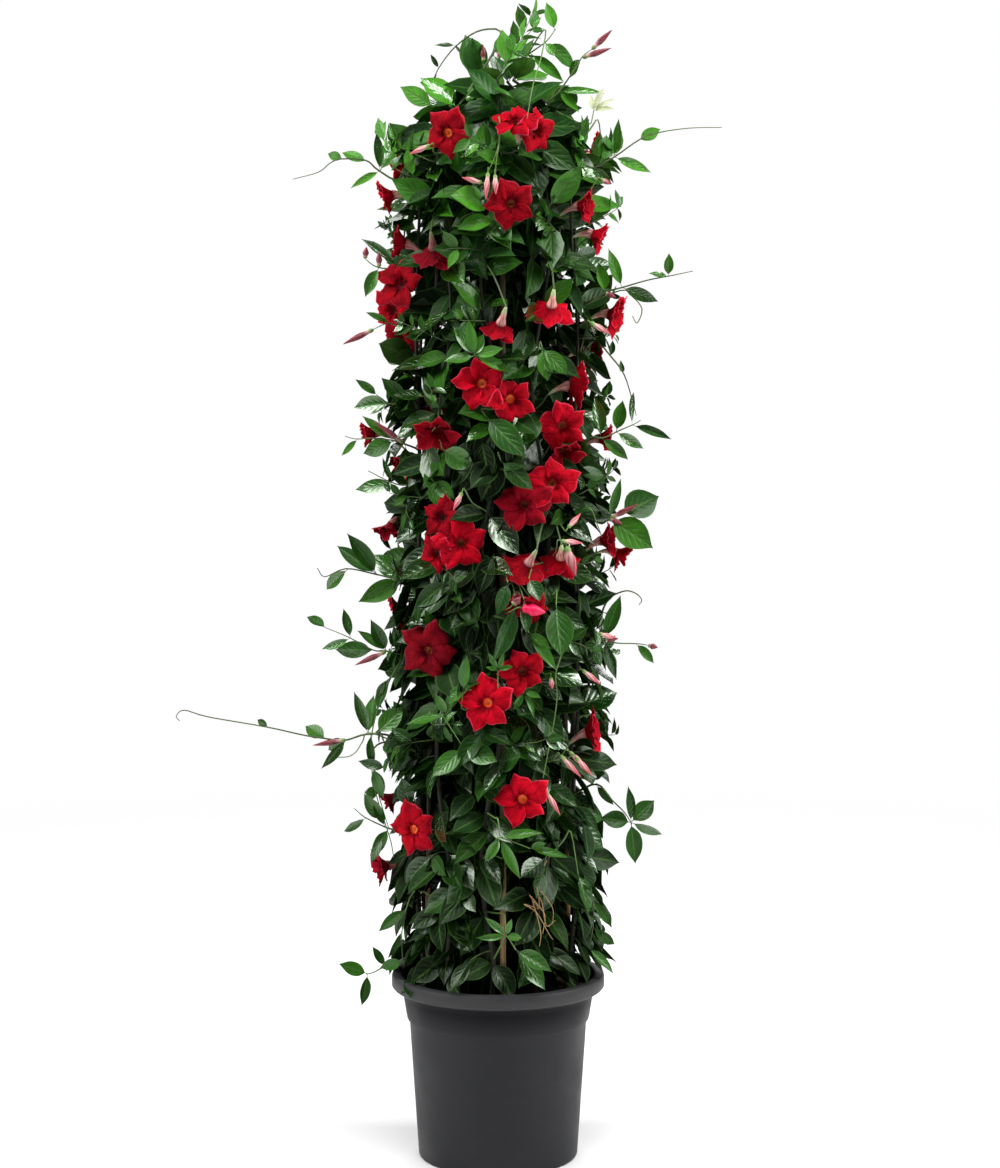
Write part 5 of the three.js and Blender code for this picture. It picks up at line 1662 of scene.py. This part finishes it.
# stem's start, leaves' foot, width, youth, and x and z of each leaf's tip
sprigs = [
    ((-33, -141, 1214), (-33, -160, 1205), 17, 0.75, [(-64, 1247), (-41, 1256), (-20, 1236), (8, 1216),
     (-77, 1196), (20, 1181)]),
    ((-44, -151, 727), (-74, -138, 690), 14, 0.6, [(-134, 674), (-90, 720), (-57, 735)]),
    ((-74, -140, 679), (-49, -150, 642), 32, 0.45, [(-96, 600), (-1, 624)]),
    ((0, -158, 539), (3, -158, 513), 17, 0.55, [(65, 522), (32, 455), (-19, 478)]),
    ((3, -158, 513), (46, -151, 496), 12, 0.6, [(103, 484), (70, 505)]),
    ((9, -152, 400), (12, -156, 369), 11, 0.6, [(-19, 397), (-32, 368), (35, 366), (20, 395)]),
    ((12, -156, 369), (26, -156, 348), 26, 0.3, [(68, 291), (78, 320)]),
    ((-52, -147, 700), (-50, -148, 724), 18, 0.5, [(-44, 778), (-70, 708)]),
    ((0, -154, 727), (0, -156, 756), 8, 0.8, [(-14, 782), (9, 784), (22, 762), (-18, 760)]),
    ((37, -151, 735), (37, -151, 722), 12, 0.65, [(52, 686), (62, 716), (22, 698)]),
    ((145, -34, 1546), (150, -32, 1517), 24, 0.4, [(147, 1480), (170, 1500)]),
    ((-83, -125, 1085), (-80, -130, 1072), 38, 0.35, [(-33, 1046)]),
    ((60, -138, 1225), (63, -139, 1216), 24, 0.6, [(70, 1168), (100, 1176)]),
    ((-24, -149, 1130), (-18, -150, 1120), 34, 0.1, [(38, 1060)]),
    ((0, -150, 1068), (4, -152, 1056), 28, 0.1, [(50, 1014)]),
    ((-98, -114, 1034), (-94, -119, 1026), 22, 0.6, [(-62, 1000), (-86, 988)]),
    ((106, -117, 514), (117, -106, 450), 32, 0.15, [(134, 392)]),
    ((20, -140, 880), (26, -172, 852), 28, 0.05, [(-6, 770)]),
    ((30, -140, 880), (37, -178, 860), 20, 0.0, [(41, 812)]),
    ((40, -150, 830), (44, -166, 811), 17, 0.75, [(83, 759), (76, 789)]),
    ((84, -140, 870), (83, -170, 852), 38, 0.2, [(90, 778)]),
    ((6, -140, 905), (14, -176, 884), 22, 0.0, [(-2, 838)]),
    ((50, -140, 905), (44, -180, 890), 24, 0.0, [(60, 858)]),
]
# leaves of the vine that hangs out at the left, and a few at the top: foot, x and z of the tip,
# width and youth
hungLeaves = [
    ((-180, -46, 648), (-140, 689), 30, 0.6), ((-189, -42, 647), (-187, 596), 12, 0.25),
    ((-186, -42, 596), (-170, 551), 18, 0.5), ((-139, -70, 657), (-154, 597), 34, 0.0),
    ((-129, -75, 542), (-142, 587), 26, 0.0), ((-170, -44, 517), (-199, 557), 22, 0.4),
    ((-172, -42, 491), (-190, 454), 16, 0.1), ((-166, -44, 596), (-206, 608), 16, 0.1),
    ((-180, -42, 700), (-167, 727), 10, 0.0), ((-180, -44, 681), (-162, 733), 16, 0.3),
    ((-62, -20, 1654), (-92, 1654), 8, 0.0), ((-62, -20, 1654), (-53, 1641), 4, 0.0),
    ((-86, -20, 1621), (-98, 1640), 7, 0.0), ((-95, -20, 1598), (-90, 1612), 5, 0.0),
    ((-93, -70, 1562), (-140, 1590), 27, 1.0),
]
paleSprig = {"foot": (138, -60, 1556), "knee": (128, -70, 1535), "width": 9,
             "tips": [(151, 1590), (166, 1575), (133, 1578), (164, 1560)]}
# base, tip, radius and ripeness
halfOpen = [
    ((98, -139, 933), (112, -132, 889), 7.5, 0.35), ((34, -184, 848), (68, -184, 842), 9, -1.0),
    ((21, -172, 852), (32, -174, 864), 7, 0.7),
]
# base, tip and, where it isn't 0, ripeness
looseBuds = [
    ((-14, -159, 1463), (-17, -163, 1424)), ((-4, -160, 1460), (-3, -164, 1431)),
    ((-96, -128, 1503), (-126, -112, 1491)), ((-22, -156, 1448), (-51, -152, 1456)),
    ((-21, -30, 1629), (-22, -32, 1654), 0.9), ((0, -30, 1632), (5, -32, 1648), 0.5),
    ((148, -58, 1459), (165, -40, 1453), 0.6), ((133, -89, 1253), (163, -60, 1236)),
    ((-51, -152, 1011), (-64, -152, 985)), ((122, -103, 750), (150, -82, 726)),
    ((76, -141, 744), (78, -144, 727)), ((90, -132, 629), (121, -116, 594)),
    ((103, -122, 633), (128, -108, 607)), ((69, -144, 579), (90, -137, 542)),
    ((147, -64, 799), (176, -50, 789)), ((90, -144, 941), (122, -121, 936)),
    ((100, -137, 959), (119, -124, 979)), ((112, -128, 626), (137, -104, 595)),
]
longStems = [
    [(94, -135, 797), (91, -139, 776), (83, -143, 748), (85, -142, 717), (81, -144, 682), (74, -148, 646),
     (65, -152, 599)],
    [(132, -98, 985), (144, -78, 961), (155, -50, 932)],
    [(-127, -60, 786), (-139, -50, 764), (-157, -45, 733), (-172, -42, 700), (-181, -40, 673),
     (-187, -40, 645), (-188, -40, 620), (-187, -40, 593), (-184, -40, 570), (-177, -40, 542),
     (-166, -40, 507), (-159, -40, 484), (-155, -45, 463)],
    [(-187, -40, 648), (-201, -38, 634), (-210, -38, 620), (-222, -36, 612), (-240, -36, 611)],
    [(1, -148, 1540), (3, -155, 1524), (1, -160, 1500), (-6, -160, 1480), (-14, -159, 1463)],
    [(1, -160, 1500), (-2, -161, 1480), (-4, -160, 1460)],
    [(66, -60, 1672), (62, -110, 1630), (50, -140, 1588), (41, -157, 1538)],
    [(178, -52, 1299), (196, -48, 1290), (210, -44, 1272), (203, -42, 1252), (196, -44, 1262)],
    [(-86, -126, 1110), (-98, -120, 1090), (-102, -122, 1062), (-96, -125, 1048)],
]
dryStalks = [
    [(46, -150, 427), (58, -152, 413), (68, -150, 397), (65, -149, 371)],
    [(56, -148, 440), (64, -151, 415), (70, -149, 382), (83, -140, 388)],
    [(38, -150, 414), (56, -153, 402), (74, -146, 369), (80, -140, 360)],
    [(60, -148, 432), (72, -150, 420), (80, -146, 404), (79, -143, 384)],
    [(50, -150, 420), (57, -154, 396), (62, -154, 372), (60, -152, 352)],
]


def sproutRun(start, places, radii, steps):
    # a thin stem from the vine nearest to its start
    return smoothRun([rootNear(start), *places], *radii, steps)


sprigLeaves, sprigRuns, sprigBuds = [], [], []
for number, (start, foot, width, young, tips) in enumerate(sprigs):
    draw = drawsFrom(700000 + number)
    start, foot = Vector(start), Vector(foot)
    root = rootNear(start - zAxis * 25)
    sprigRuns.append(smoothRun([root, start.lerp(root, 0.3), start, foot], 1.5, 0.8, 3))
    for x, z in tips:
        reach = math.hypot(x - foot.x, z - foot.z)
        tip = Vector((x, foot.y - reach * mix(0.02, 0.3, draw()), z))
        wish = levelOut(foot) + zAxis * mix(0.1, 0.8, draw()) + Vector((0.6 * (draw() - 0.5), 0, 0))
        leaf = archedLeaf(foot, tip, wish, width * mix(0.85, 1.1, draw()))
        shape = pickForm(leafTemplates, draw)
        sprigLeaves.append(leafCopy(shape, leaf, (mix(0.9, 1.2, draw()), young, 0.6, 1)))
for number, (foot, (x, z), width, young) in enumerate(hungLeaves):
    leaf = straightLeaf(Vector(foot), Vector((x, foot[1] - 8, z)), Vector((-0.3, -1, 0.3)), width)
    tone = (mix(0.75, 1.25, clamp01(young * 2 - 1)), young, 0.5, 1)
    sprigLeaves.append(leafCopy(leafTemplates[number % 4], leaf, tone))
finishPiece(buildPiece("sprigLeaves", sprigLeaves, [leafTop, leafUnder]), "foliage")

paleFoot, paleLeaves = Vector(paleSprig["foot"]), []
for number, (x, z) in enumerate(paleSprig["tips"]):
    tip = Vector((x, paleFoot.y - 6 * number, z))
    leaf = straightLeaf(paleFoot, tip, Vector((0.3 * number - 0.5, -1, 0.4)), paleSprig["width"])
    paleLeaves.append(leafCopy(leafTemplates[number % 4], leaf, (1, 1, 0.3, 1)))
finishPiece(buildPiece("paleLeaves", paleLeaves, [paleLeaf, paleLeaf]), "foliage")
sprigRuns.append(sproutRun(paleFoot, [Vector(paleSprig["knee"]), paleFoot], (1.2, 0.8), 3))

closedBuds = [(bud[0], bud[1], budForm["looseRadius"], bud[2] if len(bud) > 2 else 0.0) for bud in looseBuds]
for base, tip, radius, ripe in closedBuds + halfOpen:
    base, tip = Vector(base), Vector(tip)
    root = rootNear(base - zAxis * 10)
    neck = base - (tip - base).normalized() * 6
    sprigRuns.append(smoothRun([root, root.lerp(base, 0.6) - zAxis * 4, neck, base], 1.2, 0.9, 3))
    sprigBuds.append(budCopy(base, tip, radius, ripe))
dryRuns = []
for stems, runs, radii in ((longStems, sprigRuns, (1.2, 0.7)), (dryStalks, dryRuns, (0.95, 0.5))):
    for stem in stems:
        places = [Vector(place) for place in stem]
        runs.append(sproutRun(places[0], places, radii, 4))
finishPiece(buildPiece("sprigBuds", sprigBuds, [budMaterial]), "petal")
finishPiece(tubePiece("sprigStems", sprigRuns, greenStem), "foliage")
finishPiece(tubePiece("dryStalks", dryRuns, dryStem), "foliage")
print("surface growth made:", len(sprigs), "sprigs,", len(looseBuds), "buds")


# blooms

def bloomCopy(shape, plan, tone):
    corners = shape["corners"]
    radius, depth = np.hypot(corners[:, 0], corners[:, 1]), corners[:, 2]
    throat, back = bloomShape["throat"], bloomPlan["petalBackDepth"]
    widened = throat + (radius - throat) * (plan["half"] - throat) / (bloomShape["radius"] - throat)
    scale = np.where(radius > throat, widened, radius) / np.maximum(radius, 1e-6)
    turn = plan["spin"]
    x = (corners[:, 0] * math.cos(turn) - corners[:, 1] * math.sin(turn)) * scale
    y = (corners[:, 0] * math.sin(turn) + corners[:, 1] * math.cos(turn)) * scale
    sink = np.clip((-back - depth) / (bloomPlan["tube"] - back), 0, 1) ** 1.5 * plan["drop"]
    placed = (
        np.array(plan["middle"]) + np.outer(x, plan["side"]) + np.outer(y, plan["up"])
        + np.outer(depth, plan["out"]) - np.outer(sink, zAxis)
    ) * mm
    return shape, placed, tone


# blooms painted darker and duller than the rest, by group and place in it: partly older blooms, partly
# painted shade where a bloom sits in shadow
duskyBlooms = {(4, 0): 1, (5, 0): 0.6, (7, 1): 0.6, (15, 0): 0.45, (16, 1): 0.5, (18, 0): 0.7, (20, 1): 0.8,
    (21, 0): 0.3, (21, 2): 0.3, (22, 0): 0.8, (26, 0): 1, (27, 0): 0.8, (33, 0): 1.1, (34, 0): 1.1}
# how far the yellow eye shows: bright in a few; in the others the dark throat colour stays, as painted shade
# in the throat
eyedBlooms = {(0, 0): 1, (1, 0): 0, (1, 1): 0.05, (2, 0): 0.25, (6, 0): 0, (7, 0): 0, (7, 1): 0,
    (14, 0): 0.8, (14, 1): 1, (15, 0): 0, (16, 0): 0.2, (16, 1): 0.1, (20, 0): 0.3, (20, 1): 0.05,
    (21, 0): 0, (21, 1): 0.1, (21, 2): 0, (27, 0): 0.25, (28, 0): 0.15, (29, 0): 1, (31, 0): 1, (32, 0): 1}

for groupNumber, group in enumerate(bloomGroups):
    copies = []
    for i, plan in enumerate(group):
        draw = drawsFrom(600000 + plan["number"])
        form = int(draw() * (bloomShape["hangingForm"] - 0.001))
        if plan["out"].z < -0.55 or plan["hangs"] or abs(plan["out"].y) < 0.5:
            form = bloomShape["hangingForm"]
        eyed = eyedBlooms.get((groupNumber, i), mix(0.1, 0.5, draw()))
        tone = (mix(0.58, 1.2, draw()), duskyBlooms.get((groupNumber, i), 0), eyed, 1)
        copies += [bloomCopy(shape, plan, tone) for shape in (bloomTemplates[form], tubeShape)]
    bloomPiece = buildPiece("openBlooms%d" % (groupNumber + 1), copies, [petalFront, petalBack, eyeMaterial])
    finishPiece(bloomPiece, "petal", "bloom_%d" % (groupNumber + 1))
print("blooms made:", len(allBlooms))


# floor

floorForm = {"side": 8.0, "color": colorOf(0.9, 0.9, 0.9), "clearFrom": 3.6, "solidTo": 1.4}
floor = newPrimitive("paleFloor", bpy.ops.mesh.primitive_plane_add, size=floorForm["side"])
floorMaterial, floorTree, floorSkin = newMaterial("floorPaint", 0.9, 0.1)
floorSkin["Base Color"].default_value = floorForm["color"]
floorReach = addNode(floorTree, "ShaderNodeVectorMath", {0: objectPlace(floorTree)}, operation="LENGTH")
floorTree.links.new(
    rampBetween(floorTree, floorReach.outputs["Value"], floorForm["clearFrom"], floorForm["solidTo"]),
    floorSkin["Alpha"])
floor.data.materials.append(floorMaterial)

print("scene ready")
